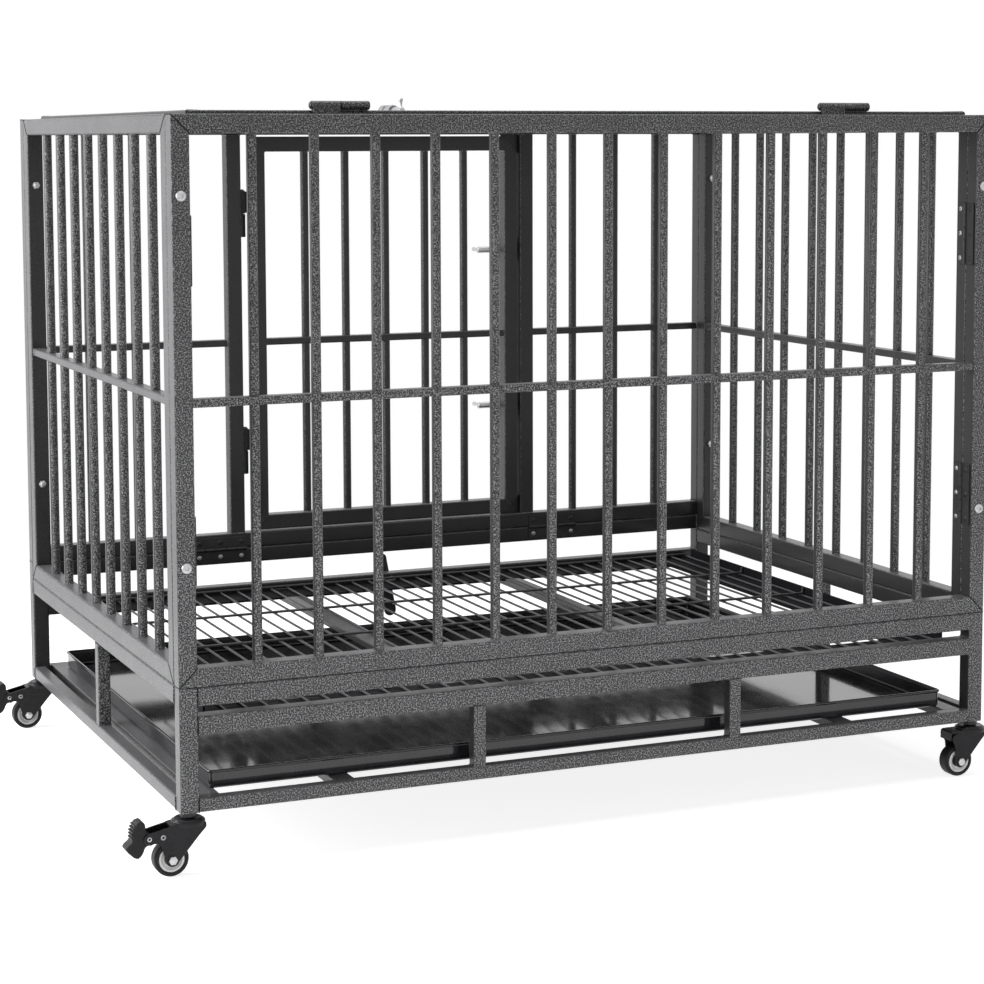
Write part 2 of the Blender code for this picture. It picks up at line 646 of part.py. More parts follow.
def base_frame():
    """The welded base: posts, three levels of rails, struts and the bars under floor and tray."""
    post_x = END_X - TUBE / 2
    post_y = FACE_Y - TUBE / 2
    posts = []
    for x in (-post_x, post_x):
        posts.append(square_rod("post", "Z", BASE_BOTTOM, BASE_TOP, x, -post_y, TUBE, TUBE_EDGE))
        posts.append(square_rod("post", "Z", BASE_BOTTOM, BACK_BASE_TOP, x, post_y, TUBE, TUBE_EDGE))
    frame = gather(posts)
    frame.name = "base_frame"
    frame.data.name = "base_frame"
    low_y = FACE_Y - SMALL_TUBE / 2
    low_x = END_X - SMALL_TUBE / 2
    low_z = BASE_BOTTOM + SMALL_TUBE / 2
    second_z = SECOND_RAIL_TOP - TUBE / 2
    reach_x = INNER_X + WELD_DEPTH
    reach_y = INNER_Y + WELD_DEPTH
    join(frame, [
        square_rod("rail", "X", -reach_x, reach_x, -post_y, BASE_TOP - TUBE / 2, TUBE, TUBE_EDGE),
        square_rod("rail", "X", -reach_x, reach_x, post_y, BACK_BASE_TOP - TUBE / 2, TUBE, TUBE_EDGE),
        square_rod("rail", "X", -reach_x, reach_x, -post_y, second_z, TUBE, TUBE_EDGE),
        square_rod("rail", "X", -reach_x, reach_x, post_y, second_z, TUBE, TUBE_EDGE),
        square_rod("rail", "X", -reach_x, reach_x, -low_y, low_z, SMALL_TUBE, SMALL_EDGE),
        square_rod("rail", "X", -reach_x, reach_x, low_y, low_z, SMALL_TUBE, SMALL_EDGE),
    ])
    join(frame, [
        square_rod("rail", "Y", -reach_y, reach_y, -post_x, BASE_TOP - TUBE / 2, TUBE, TUBE_EDGE),
        square_rod("rail", "Y", -reach_y, reach_y, post_x, BASE_TOP - TUBE / 2, TUBE, TUBE_EDGE),
        square_rod("rail", "Y", -reach_y, reach_y, -low_x, low_z, SMALL_TUBE, SMALL_EDGE),
        square_rod("rail", "Y", -reach_y, reach_y, low_x, low_z, SMALL_TUBE, SMALL_EDGE),
    ])
    strut_low = LOW_RAIL_TOP - WELD_DEPTH
    struts = []
    for x in spread(-INNER_X, INNER_X, 2):
        struts.append(square_rod(
            "strut", "Z", strut_low, SECOND_RAIL_BOTTOM + WELD_DEPTH, x, -low_y, SMALL_TUBE, SMALL_EDGE
        ))
    for x in (-low_x, low_x):
        struts.append(
            square_rod("strut", "Z", strut_low, BASE_TOP - TUBE + WELD_DEPTH, x, 0.0, SMALL_TUBE, SMALL_EDGE),
        )
    join(frame, struts)
    tray_bars = []
    tray_reach = FACE_Y - SMALL_TUBE + WELD_DEPTH
    for x in (
        -INNER_X + END_BAR_WIDTH, -END_X + TRAY_BAR_INSET, END_X - TRAY_BAR_INSET, INNER_X - END_BAR_WIDTH,
    ):
        tray_bars.append(block(
            "tray_bar",
            (x - TRAY_BAR_WIDTH / 2, -tray_reach, BASE_BOTTOM + WELD_DEPTH),
            (x + TRAY_BAR_WIDTH / 2, tray_reach, LOW_RAIL_TOP),
        ))
    floor_bars = []
    for x in spread(-INNER_X, INNER_X, 2):
        floor_bars.append(block(
            "floor_bar",
            (x - FLOOR_BAR_WIDTH / 2, -reach_y, SECOND_RAIL_BOTTOM + FINE),
            (x + FLOOR_BAR_WIDTH / 2, reach_y, FLOOR_BAR_TOP),
        ))
    join(frame, tray_bars + floor_bars)
    ledge_x = INNER_X - LEDGE_END_GAP
    ledge_y = INNER_Y - LEDGE_END_GAP
    low = FLOOR_BAR_TOP - LEDGE_SHEET
    top = FLOOR_BAR_TOP + LEDGE_LIP
    ledges = []
    end_ledges = []
    for side in (-1, 1):
        near, far = sorted((side * reach_y, side * (INNER_Y - LEDGE_WIDTH)))
        ledges.append(
            block("ledge", (-ledge_x + WELD_DEPTH, near, low), (ledge_x - WELD_DEPTH, far, FLOOR_BAR_TOP - FINE)),
        )
        lip, bend, edge = side * ledge_x, side * (ledge_x - LEDGE_SHEET), side * (ledge_x - LEDGE_WIDTH)
        outline = [
            (edge, low - FINE), (lip, low - FINE), (lip, top), (bend, top), (bend, FLOOR_BAR_TOP),
            (edge, FLOOR_BAR_TOP),
        ]
        end_ledges.append(extrude("end_ledge", outline, UPRIGHT_X, -ledge_y, ledge_y))
    join(frame, ledges)
    join(frame, end_ledges)
    notch = LOCK_PIVOT_HEAD + RUNNING_CLEARANCE
    cut(frame, block("notch", (-notch, INNER_Y - notch / 2, low - TUBE / 4), (notch, INNER_Y, top)))
    sockets = [
        cylinder(
            "socket", (x, y, BASE_BOTTOM - TUBE), (x, y, BASE_BOTTOM + STEM_DEPTH + TOUCH), STEM_HOLE, 12,
        )
        for x in (-post_x, post_x) for y in (-post_y, post_y)
    ]
    cut(frame, sockets)
    lock_hole = cylinder(
        "lock_hole", (0.0, INNER_Y - TUBE, second_z), (0.0, FACE_Y + TUBE, second_z), LOCK_PIVOT_HOLE, 12
    )
    return cut(frame, lock_hole)


def floor_grid():
    """Floor wires along Y with carrier wires welded over them; the carriers' ends turn up."""
    reach_x = INNER_X - LEDGE_END_GAP - LEDGE_SHEET - TOUCH
    reach_y = INNER_Y - GRID_EDGE_GAP
    wire_low = FLOOR_BAR_TOP + TOUCH
    wire_top = wire_low + FLOOR_WIRE
    carrier_top = wire_top + CARRIER_WIRE
    half = CARRIER_WIRE / 2
    levels = [-reach_y + half, *spread(-reach_y, reach_y, CARRIERS_INSIDE), reach_y - half]
    carriers = []
    for y in levels:
        carriers.append(block("carrier", (-reach_x, y - half, wire_top), (reach_x, y + half, carrier_top)))
    grid = gather(carriers)
    grid.name = "floor_grid"
    grid.data.name = "floor_grid"
    inner_ends = reach_x - FLOOR_WIRE
    count = round(2 * inner_ends / FLOOR_WIRE_PITCH)
    wires = []
    for k in range(count + 1):
        x = -inner_ends + 2 * inner_ends * k / count
        wires.append(
            block("wire", (x - FLOOR_WIRE / 2, -reach_y, wire_low), (x + FLOOR_WIRE / 2, reach_y, wire_top)),
        )
    join(grid, wires)
    ends = []
    for y in levels[1:-1]:
        for side in (-1, 1):
            x = side * (reach_x - FINE)
            low = (min(x, x - side * half), y - half + FINE, wire_top + FINE)
            high = (max(x, x - side * half), y + half - FINE, carrier_top + WIRE_END_RISE)
            ends.append(block("wire_end", low, high))
    return join(grid, ends)


def tray():
    """A folded pan with a hem round its rim."""
    half_x = TRAY_LENGTH / 2
    half_y = TRAY_DEPTH / 2
    top = TRAY_BOTTOM + TRAY_HEIGHT
    inset = TRAY_HEM - TRAY_SHEET
    pan = block(
        "tray", (-half_x + inset, -half_y + inset, TRAY_BOTTOM), (
            half_x - inset, half_y - inset, top - FINE,
        )
    )
    hem = block("hem", (-half_x, -half_y, top - TRAY_HEM), (half_x, half_y, top))
    join(pan, hem)
    hollow_x = half_x - TRAY_HEM
    hollow_y = half_y - TRAY_HEM
    return cut(
        pan,
        block("hollow", (-hollow_x, -hollow_y, TRAY_BOTTOM + TRAY_SHEET), (hollow_x, hollow_y, top + TUBE)),
    )


def guide(name, length, half_height, axis_height):
    """A bored strap on a plate; the bolt runs along X, and the plate lies on the plane Y = 0."""
    arc_steps = 6
    outline = [(0.0, -half_height), (GUIDE_PLATE, -half_height), (GUIDE_PLATE, -GUIDE_RADIUS)]
    for k in range(arc_steps + 1):
        turn = math.pi * k / arc_steps - math.pi / 2
        outline.append((axis_height + GUIDE_RADIUS * math.cos(turn), GUIDE_RADIUS * math.sin(turn)))
    outline += [(GUIDE_PLATE, GUIDE_RADIUS), (GUIDE_PLATE, half_height), (0.0, half_height)]
    along_x = Matrix(((0, 0, 1), (1, 0, 0), (0, 1, 0)))
    strap = extrude(name, outline, along_x, -length / 2, length / 2)
    bore = cylinder("bore", (-length, axis_height, 0.0), (length, axis_height, 0.0), BOLT_BORE, 10)
    return cut(strap, bore)


def slide_bolt(name, tip, tail, knob_at, knob_length):
    """A round bolt along X on the plane Y = 0, with a chamfered tip and a knob that stands out."""
    chamfer = 0.0012
    body = turned(name, (tail, 0.0, 0.0), "X", (
        (0.0, BOLT_RADIUS - chamfer), (chamfer, BOLT_RADIUS),
        (tip - tail - chamfer, BOLT_RADIUS), (tip - tail, BOLT_RADIUS - chamfer),
    ), 10)
    stalk = turned("knob", (knob_at, 0.0, 0.0), "Y", (
        (0.0, BOLT_KNOB_RADIUS * 0.75), (BOLT_RADIUS + 0.002, BOLT_KNOB_RADIUS * 0.75),
        (BOLT_RADIUS + 0.004, BOLT_KNOB_RADIUS), (BOLT_RADIUS + knob_length - 0.001, BOLT_KNOB_RADIUS),
        (BOLT_RADIUS + knob_length, BOLT_KNOB_RADIUS * 0.7),
    ), 8)
    return join(body, stalk)


def butt_hinge(name):
    """A butt hinge laid open: along Z, across X, with its leaves on the plane Y = 0."""
    leaves = block(
        name, (-LEAF_WIDTH / 2, 0.0, -LEAF_LENGTH / 2), (LEAF_WIDTH / 2, LEAF_THICKNESS, LEAF_LENGTH / 2),
    )
    barrel_end = LEAF_LENGTH / 2 - FINE
    join(
        leaves,
        cylinder("barrel", (0, LEAF_THICKNESS, -barrel_end), (0, LEAF_THICKNESS, barrel_end), KNUCKLE_RADIUS, 8),
    )
    return cut(
        leaves, block("flat", (-LEAF_WIDTH, -LEAF_WIDTH, -LEAF_LENGTH), (LEAF_WIDTH, 0.0, LEAF_LENGTH)),
    )


def corner_bolt(name):
    """A corner bolt along Y with its head at Y below 0, its shank through two tubes, and its nut."""
    length = 2 * TUBE + TOUCH
    profile = (
        (-CORNER_BOLT_PROUD - TOUCH, CORNER_BOLT_HEAD * 0.7),
        (-TOUCH, CORNER_BOLT_HEAD), (-TOUCH, CORNER_BOLT_RADIUS),
        (length + TOUCH, CORNER_BOLT_RADIUS), (length + TOUCH, CORNER_NUT_RADIUS),
        (length + TOUCH + CORNER_NUT_HEIGHT, CORNER_NUT_RADIUS),
    )
    return turned(name, (0, 0, 0), "Y", profile, 8)


def lock_lever(name):
    """The tapered lever with rounded ends, in the XZ plane about its pivot, leaning as it rests."""
    rail_middle = SECOND_RAIL_TOP - TUBE / 2
    tip_level = TRAY_BOTTOM + TRAY_HEIGHT + LEVER_TIP_GAP
    below = rail_middle - tip_level
    above = LEVER_LENGTH - below
    top_radius = LEVER_TOP_WIDTH / 2
    low_radius = LEVER_LOW_WIDTH / 2
    outline = []
    for k in range(7):
        turn = math.pi * k / 6
        outline.append((top_radius * math.cos(turn), above - top_radius + top_radius * math.sin(turn)))
    for k in range(7):
        turn = math.pi + math.pi * k / 6
        outline.append((low_radius * math.cos(turn), -below + low_radius + low_radius * math.sin(turn)))
    lever = extrude(name, outline, UPRIGHT_X, 0.0, LEVER_THICKNESS)
    cut(lever, cylinder("hole", (0, -LEVER_THICKNESS, 0), (0, 2 * LEVER_THICKNESS, 0), LOCK_PIVOT_HOLE, 12))
    lever.data.transform(Matrix.Rotation(math.radians(-LEVER_LEAN), 4, "Y"))
    return lever


def lock_pivot(name):
    """The lever's pivot bolt along Y, through the second rail, with its origin on the rail's outer face."""
    head_at = TOUCH + LEVER_THICKNESS + TOUCH
    profile = (
        (-TUBE - TOUCH - LOCK_PIVOT_HEAD_HEIGHT, LOCK_PIVOT_HEAD), (-TUBE - TOUCH, LOCK_PIVOT_HEAD),
        (-TUBE - TOUCH, LOCK_PIVOT_RADIUS), (head_at, LOCK_PIVOT_RADIUS), (head_at, LOCK_PIVOT_HEAD),
        (head_at + LOCK_PIVOT_HEAD_HEIGHT * 0.6, LOCK_PIVOT_HEAD),
        (head_at + LOCK_PIVOT_HEAD_HEIGHT, LOCK_PIVOT_HEAD * 0.6),
    )
    return turned(name, (0, 0, 0), "Y", profile, 10)


def caster_fork(name, braked):
    """A stamped channel fork below a dished raceway; the swivel axis is Z through its origin."""
    wheel_x = -CASTER_TRAIL
    half_inside = HUB_WIDTH / 2 + FORK_HUB_GAP
    half_outside = half_inside + FORK_WALL
    boss = 0.0080
    front = FORK_HEAD_RADIUS * 0.9
    outline = [(front, FORK_TOP), (front, FORK_TOP - 0.007), (front - 0.008, FORK_TOP - 0.015)]
    for k in range(6):
        turn = math.radians(-20 - 160 * k / 5)
        outline.append((wheel_x + boss * math.cos(turn), WHEEL_RADIUS + boss * math.sin(turn)))
    if braked:
        x, z = BRAKE_PIVOT
        outline += [(wheel_x - 0.0125, 0.0370), (x + 0.0120, z - 0.0060), (x - 0.0020, z - 0.0062)]
        outline += [(x - 0.0068, z - 0.0010), (x - 0.0050, z + 0.0050), (x + 0.0090, z + 0.0085)]
    else:
        outline += [
            (wheel_x - 0.0080, 0.0420), (FORK_LIP_REACH, FORK_LIP_LOW), (FORK_LIP_REACH, FORK_TOP - 0.002),
        ]
        outline.append((FORK_LIP_REACH + 0.002, FORK_TOP))
    outline.append((-FORK_HEAD_RADIUS * 0.75, FORK_TOP))
    fork = extrude(name, outline, UPRIGHT_X, -half_outside, half_outside)
    slot_top = FORK_TOP - FORK_PLATE
    if braked:
        cut(fork, block("slot", (-0.1, -half_inside, 0.0), (0.1, half_inside, slot_top)))
        cut(
            fork,
            block("toe_slot", (-0.1, -half_inside, 0.0), (BRAKE_SLOT_END, half_inside, FORK_TOP + 0.01)),
        )
    else:
        cut(
            fork,
            block("slot", (FORK_LIP_REACH + FORK_WALL, -half_inside, 0.0), (0.1, half_inside, slot_top)),
        )
        cut(fork, block("below_lip", (-0.1, -half_inside, 0.0), (0.1, half_inside, FORK_LIP_LOW)))
    race = turned("race", (0, 0, 0), "Z", (
        (slot_top, FORK_HEAD_RADIUS), (FORK_TOP + 0.0014, FORK_HEAD_RADIUS),
        (FORK_TOP + 0.0030, RACE_RADIUS), (RACE_TOP, RACE_RADIUS * 0.94),
    ), 14)
    join(fork, race)
    holes = [
        cylinder("bore", (0, 0, slot_top - 0.01), (0, 0, RACE_TOP + 0.01), STEM_HOLE, 10),
        cylinder("axle_hole", (wheel_x, -0.05, WHEEL_RADIUS), (wheel_x, 0.05, WHEEL_RADIUS), AXLE_HOLE, 8),
    ]
    if braked:
        x, z = BRAKE_PIVOT
        holes.append(cylinder("pivot_hole", (x, -0.05, z), (x, 0.05, z), BRAKE_HOLE + TOUCH, 8))
    return cut(fork, holes)


def caster_stem(name):
    """The stem in the base post: collar under the post, journal through the fork, rivet head inside."""
    slot_top = FORK_TOP - FORK_PLATE
    collar_low = RACE_TOP + TOUCH
    collar_high = CASTER_HEIGHT - TOUCH
    profile = (
        (slot_top - TOUCH - STEM_RIVET_HEIGHT, STEM_RIVET_RADIUS * 0.8),
        (slot_top - TOUCH, STEM_RIVET_RADIUS), (slot_top - TOUCH, STEM_RADIUS),
        (collar_low, STEM_RADIUS), (collar_low, STEM_COLLAR_RADIUS),
        (collar_high, STEM_COLLAR_RADIUS), (collar_high, STEM_RADIUS),
        (CASTER_HEIGHT + STEM_DEPTH, STEM_RADIUS),
    )
    return turned(name, (0, 0, 0), "Z", profile, 10)


def caster_axle(name):
    """A hexagon-headed axle with its nut, on the wheel's axis through the origin."""
    outside = HUB_WIDTH / 2 + FORK_HUB_GAP + FORK_WALL + TOUCH
    axle = cylinder(
        name, (0, -outside - NUT_HEIGHT - 0.0012, 0), (0, outside + NUT_HEIGHT + 0.0012, 0), AXLE_RADIUS, 8,
    )
    return join(axle, [
        cylinder("head", (0, -outside - NUT_HEIGHT, 0), (0, -outside, 0), NUT_RADIUS, 6),
        cylinder("nut", (0, outside, 0), (0, outside + NUT_HEIGHT, 0), NUT_RADIUS, 6),
    ])


def caster_wheel(name):
    """The wheel's core: a dished web between a hub and the rim that carries the tyre."""
    rim = WHEEL_RADIUS - TYRE_THICKNESS - TOUCH
    half_hub = HUB_WIDTH / 2
    half_rim = CORE_WIDTH / 2
    half_web = 0.004
    profile = (
        (-half_hub, AXLE_HOLE), (-half_hub, HUB_RADIUS * 0.8), (-half_web, HUB_RADIUS),
        (-half_web, rim - 0.0035), (-half_rim, rim),
        (half_rim, rim), (half_web, rim - 0.0035),
        (half_web, HUB_RADIUS), (half_hub, HUB_RADIUS * 0.8), (half_hub, AXLE_HOLE),
    )
    return turned_ring(name, (0, 0, 0), "Y", profile, 12)


def caster_tyre(name):
    """The tread ring; its lowest facet is the flat that rests on the floor."""
    across_flats = 1 / math.cos(math.pi / TYRE_SIDES)
    outer = WHEEL_RADIUS * across_flats
    inner = (WHEEL_RADIUS - TYRE_THICKNESS) * across_flats
    half = TYRE_WIDTH / 2
    profile = (
        (-half, inner), (-half, outer - 0.0022), (-half + 0.0022, outer), (half - 0.0022, outer),
        (half, outer - 0.0022), (half, inner),
    )
    return turned_ring(name, (0, 0, 0), "Y", profile, TYRE_SIDES)


def brake_pedal(name):
    """The ribbed toe pedal with its cam, in the XZ plane about its pivot on the fork's arm."""
    half = HUB_WIDTH / 2 + FORK_HUB_GAP - RUNNING_CLEARANCE
    pivot = Vector((BRAKE_PIVOT[0], BRAKE_PIVOT[1]))
    wheel = Vector((-CASTER_TRAIL, WHEEL_RADIUS))
    toward = (wheel - pivot).normalized()
    cam = (wheel - pivot).length - WHEEL_RADIUS / math.cos(math.pi / TYRE_SIDES) - BRAKE_CAM_GAP
    aside = Vector((-toward.y, toward.x))
    nose = toward * cam
    outline = [
        (0.0040, 0.0040), tuple(nose * 0.9 + aside * 0.0045), tuple(nose), tuple(
            nose * 0.86 - aside * 0.0045,
        ),
        (-0.0045, -0.0100), (-0.0078, -0.0190), (-0.0150, -0.0232), (-0.0284, -0.0105), (-0.0280, -0.0070),
        (-0.0215, -0.0015), (-0.0225, 0.0040), (-0.0200, 0.0070), (-0.0210, 0.0105), (-0.0185, 0.0140),
        (-0.0190, 0.0172), (-0.0160, 0.0190), (-0.0125, 0.0203), (-0.0070, 0.0216), (-0.0035, 0.0165),
        (-0.0040, 0.0080),
    ]
    pedal = extrude(name, outline, UPRIGHT_X, -half, half)
    outside = HUB_WIDTH / 2 + FORK_HUB_GAP + FORK_WALL + BRAKE_PIN_PROUD
    return join(pedal, cylinder("pin", (0, -outside, 0), (0, outside, 0), BRAKE_PIN_RADIUS, 10))


def place(item, location, turn=None, parent=None, material=None):
    """Turn the piece's mesh once if asked, put its origin in the crate and hang it on a parent."""
    if turn is not None:
        item.data.transform(turn)
    item.location = Vector(location)
    if parent is not None:
        item.location = Vector(location) - parent_offset(parent)
        item.parent = parent
    if material is not None:
        item.data.materials.clear()
        item.data.materials.append(material)
    item.data.shade_smooth()
    item.data.set_sharp_from_angle(angle=math.radians(35))
    return item


def parent_offset(parent):
    offset = Vector((0, 0, 0))
    while parent is not None:
        offset += parent.location
        parent = parent.parent
    return offset


def move_origin(item, origin):
    """Shift a mesh that was drawn in the crate's place so that its own origin is at the point."""
    item.data.transform(Matrix.Translation(-Vector(origin)))
    return item


def pivot(name, location, parent):
    """An empty on a joint's axis, which carries what turns or slides there."""
    point = bpy.data.objects.new(name, None)
    point.empty_display_size = 0.02
    bpy.context.scene.collection.objects.link(point)
    point.location = Vector(location) - parent_offset(parent)
    point.parent = parent
    return point


def own_material(name, finish):
    return finish_material(name + "_finish", *finish)


PAINT = (HAMMERTONE, 0.42, 0.75)
STEEL = (BRIGHT_STEEL, 0.28, 1.0)
DARK_STEEL = (BLACK_PAINT, 0.35, 0.6)
SHEET = (BLACK_SHEET, 0.18, 0.2)
BLACK = (BLACK_PAINT, 0.45, 0.0)
WHITE = (WHITE_PLASTIC, 0.45, 0.0)
RUBBER = (BLACK_RUBBER, 0.6, 0.0)


def put(item, location, parent, finish, turn=None):
    return place(item, location, turn, parent, own_material(item.name, finish))


def build_shell(root):
    """The base and the four panels, which the corner bolts hold together."""
    for item in (
        base_frame(), front_panel(), back_panel(), side_panel("left_side_panel", -1),
        side_panel("right_side_panel", 1),
    ):
        put(item, (0, 0, 0), root, PAINT)
    put(floor_grid(), (0, 0, 0), root, PAINT)


def build_fasteners(root):
    """The corner bolts, and the butt hinges over the seams that fold when the bolts are out."""
    post_x = END_X - TUBE / 2
    for y_name, y_side in (("front", -1), ("back", 1)):
        for x_name, x_side in (("left", -1), ("right", 1)):
            for z_name, level in zip(("lower", "upper"), CORNER_BOLT_HEIGHTS):
                name = f"corner_bolt_{y_name}_{x_name}_{z_name}"
                item = corner_bolt(name)
                turn = Matrix.Rotation(math.pi, 4, "Z") if y_side > 0 else None
                put(item, (x_side * post_x, y_side * FACE_Y, level), root, STEEL, turn)
    for x_name, x_side in (("left", -1), ("right", 1)):
        for z_name, level in zip(("lower", "upper"), FOLD_HINGE_HEIGHTS):
            item = butt_hinge(f"fold_hinge_{x_name}_{z_name}")
            turn = Matrix.Rotation(math.radians(90) * x_side, 4, "Z")
            put(item, (x_side * (INNER_X - TOUCH), -INNER_Y, level), root, DARK_STEEL, turn)
        item = butt_hinge(f"base_hinge_{x_name}")
        turn = Matrix.Rotation(math.pi, 4, "Z") @ Matrix.Rotation(math.radians(90), 4, "Y")
        put(item, (x_side * BASE_HINGE_SPREAD, INNER_Y - TOUCH, BACK_BASE_TOP), root, DARK_STEEL, turn)


def build_door(root):
    """The back door on its two pins, with two slide bolts that run into keepers on the jamb."""
    axis_x, axis_y = DOOR_AXIS
    swing = pivot("door_swing", (axis_x, axis_y, PANEL_MIDDLE), root)
    door = move_origin(back_door(), (axis_x, axis_y, PANEL_MIDDLE))
    put(door, (axis_x, axis_y, PANEL_MIDDLE), swing, PAINT)
    guide_x = DOOR_RIGHT - TUBE / 2
    keeper_x = OPENING_RIGHT + TUBE / 2
    for z_name, level in zip(("lower", "upper"), DOOR_HINGE_HEIGHTS):
        top = level + DOOR_BARREL_LENGTH / 2
        pin = hinge_pin(f"door_hinge_pin_{z_name}", (0, 0, top - level), (0, 0, -DOOR_BARREL_LENGTH / 2))
        put(pin, (axis_x, axis_y, level), root, DARK_STEEL)
    for z_name, level in zip(("lower", "upper"), DOOR_BOLT_HEIGHTS):
        plate = FACE_Y + TOUCH
        put(
            guide(f"door_latch_{z_name}", GUIDE_LENGTH, GUIDE_HALF_HEIGHT, BOLT_AXIS_HEIGHT),
            (guide_x, plate, level), swing, STEEL,
        )
        put(
            guide(f"door_keeper_{z_name}", KEEPER_LENGTH, KEEPER_HALF_HEIGHT, BOLT_AXIS_HEIGHT),
            (keeper_x, plate, level), root, STEEL,
        )
        bolt_point = (guide_x, plate + BOLT_AXIS_HEIGHT, level)
        travel = pivot(f"door_bolt_travel_{z_name}", bolt_point, swing)
        tip = keeper_x - KEEPER_LENGTH / 2 - TOUCH - guide_x
        knob_at = -GUIDE_LENGTH / 2 - BOLT_KNOB_RADIUS - BOLT_THROW - TOUCH
        tail = knob_at - BOLT_RADIUS
        put(
            slide_bolt(f"door_bolt_{z_name}", tip, tail, knob_at, BOLT_KNOB_LENGTH), bolt_point, travel,
            STEEL,
        )


def build_lid(root):
    """The lid on its two pins at the front, with one slide bolt at the middle of its back rail."""
    axis_y, axis_z = LID_AXIS
    swing = pivot("lid_swing", (0, axis_y, axis_z), root)
    put(move_origin(lid(), (0, axis_y, axis_z)), (0, axis_y, axis_z), swing, PAINT)
    for x_name, side in (("left", -1), ("right", 1)):
        start, centre, end = lid_hinge_span(side)
        pin = hinge_pin(f"lid_hinge_pin_{x_name}", (start - centre, 0, 0), (end - centre, 0, 0))
        put(pin, (centre, axis_y, axis_z), root, DARK_STEEL)
    flat = Matrix.Rotation(math.radians(90), 4, "Z") @ Matrix.Rotation(math.radians(90), 4, "X")
    guide_y = INNER_Y - LID_GAP - TUBE / 2
    keeper_y = INNER_Y + TUBE / 2
    plate = LID_TOP + TOUCH
    axis_height = BOLT_AXIS_HEIGHT
    put(
        guide("lid_latch", LID_GUIDE_LENGTH, GUIDE_HALF_HEIGHT, axis_height), (0, guide_y, plate), swing,
        STEEL, flat,
    )
    keeper_axis = axis_height + LID_PROUD
    put(
        guide("lid_keeper", KEEPER_LENGTH, KEEPER_HALF_HEIGHT, keeper_axis),
        (0, keeper_y, PANEL_TOP + TOUCH), root, STEEL, flat,
    )
    bolt_point = (0, guide_y, plate + axis_height)
    travel = pivot("lid_bolt_travel", bolt_point, swing)
    tip = keeper_y - KEEPER_LENGTH / 2 - TOUCH - guide_y
    knob_at = -LID_GUIDE_LENGTH / 2 - BOLT_KNOB_RADIUS - LID_BOLT_THROW - TOUCH
    put(
        slide_bolt("lid_bolt", tip, knob_at - BOLT_RADIUS, knob_at, LID_KNOB_LENGTH), bolt_point, travel,
        STEEL, flat,
    )


def build_tray(root):
    """The tray on the low bars, and the lever on the back rail that turns down behind it."""
    slide = pivot("tray_slide", (0, 0, TRAY_BOTTOM), root)
    put(move_origin(tray(), (0, 0, TRAY_BOTTOM)), (0, 0, TRAY_BOTTOM), slide, SHEET)
    rail_middle = SECOND_RAIL_TOP - TUBE / 2
    turn_point = (0, FACE_Y + TOUCH, rail_middle)
    turn = pivot("tray_lock_turn", turn_point, root)
    put(lock_lever("tray_lock_lever"), turn_point, turn, BLACK)
    put(lock_pivot("tray_lock_pivot"), (0, FACE_Y, rail_middle), root, STEEL)


def build_casters(root):
    """Four swivel casters under the posts; the two at the left end have brakes."""
    post_x = END_X - TUBE / 2
    post_y = FACE_Y - TUBE / 2
    for y_name, y_side in (("front", -1), ("back", 1)):
        for x_name, x_side in (("left", -1), ("right", 1)):
            corner = f"{y_name}_{x_name}"
            braked = x_side < 0
            under = (x_side * post_x, y_side * post_y, 0)
            hub = (under[0] - CASTER_TRAIL, under[1], WHEEL_RADIUS)
            swivel = pivot(f"caster_swivel_{corner}", under, root)
            spin = pivot(f"wheel_spin_{corner}", hub, swivel)
            put(caster_stem(f"caster_stem_{corner}"), under, root, DARK_STEEL)
            put(caster_fork(f"caster_fork_{corner}", braked), under, swivel, DARK_STEEL)
            put(caster_axle(f"caster_axle_{corner}"), hub, swivel, STEEL)
            put(caster_wheel(f"caster_wheel_{corner}"), hub, spin, WHITE)
            put(caster_tyre(f"caster_tyre_{corner}"), hub, spin, RUBBER)
            if braked:
                toe = (under[0] + BRAKE_PIVOT[0], under[1], BRAKE_PIVOT[1])
                press = pivot(f"brake_press_{corner}", toe, swivel)
                put(brake_pedal(f"brake_pedal_{corner}"), toe, press, BLACK)


def centre_on_origin(root):
    """Slide the whole crate level so that the origin lies under the middle of its bounds."""
    bpy.context.view_layer.update()
    points = []
    for item in bpy.context.scene.objects:
        if item.type == "MESH":
            points += [item.matrix_world @ vertex.co for vertex in item.data.vertices]
    for axis in (0, 1):
        values = [point[axis] for point in points]
        root.location[axis] -= (min(values) + max(values)) / 2
    bpy.context.view_layer.update()


def main():
    clear_scene()
    root = bpy.data.objects.new("dog_crate", None)
    bpy.context.scene.collection.objects.link(root)
    build_shell(root)
    build_fasteners(root)
    build_door(root)
    build_lid(root)
    build_tray(root)
    build_casters(root)
    centre_on_origin(root)


main()
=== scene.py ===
"""Looks of a heavy square-tube dog crate on four casters.

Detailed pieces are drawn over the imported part, in metres, about the crate's own centre: X along
the crate, Y from the long side without a door to the long side with it, and Z up. At the end each
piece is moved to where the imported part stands, and rides on the body that it belongs to.
"""

import math

import bmesh
import bpy
from mathutils import Matrix, Vector


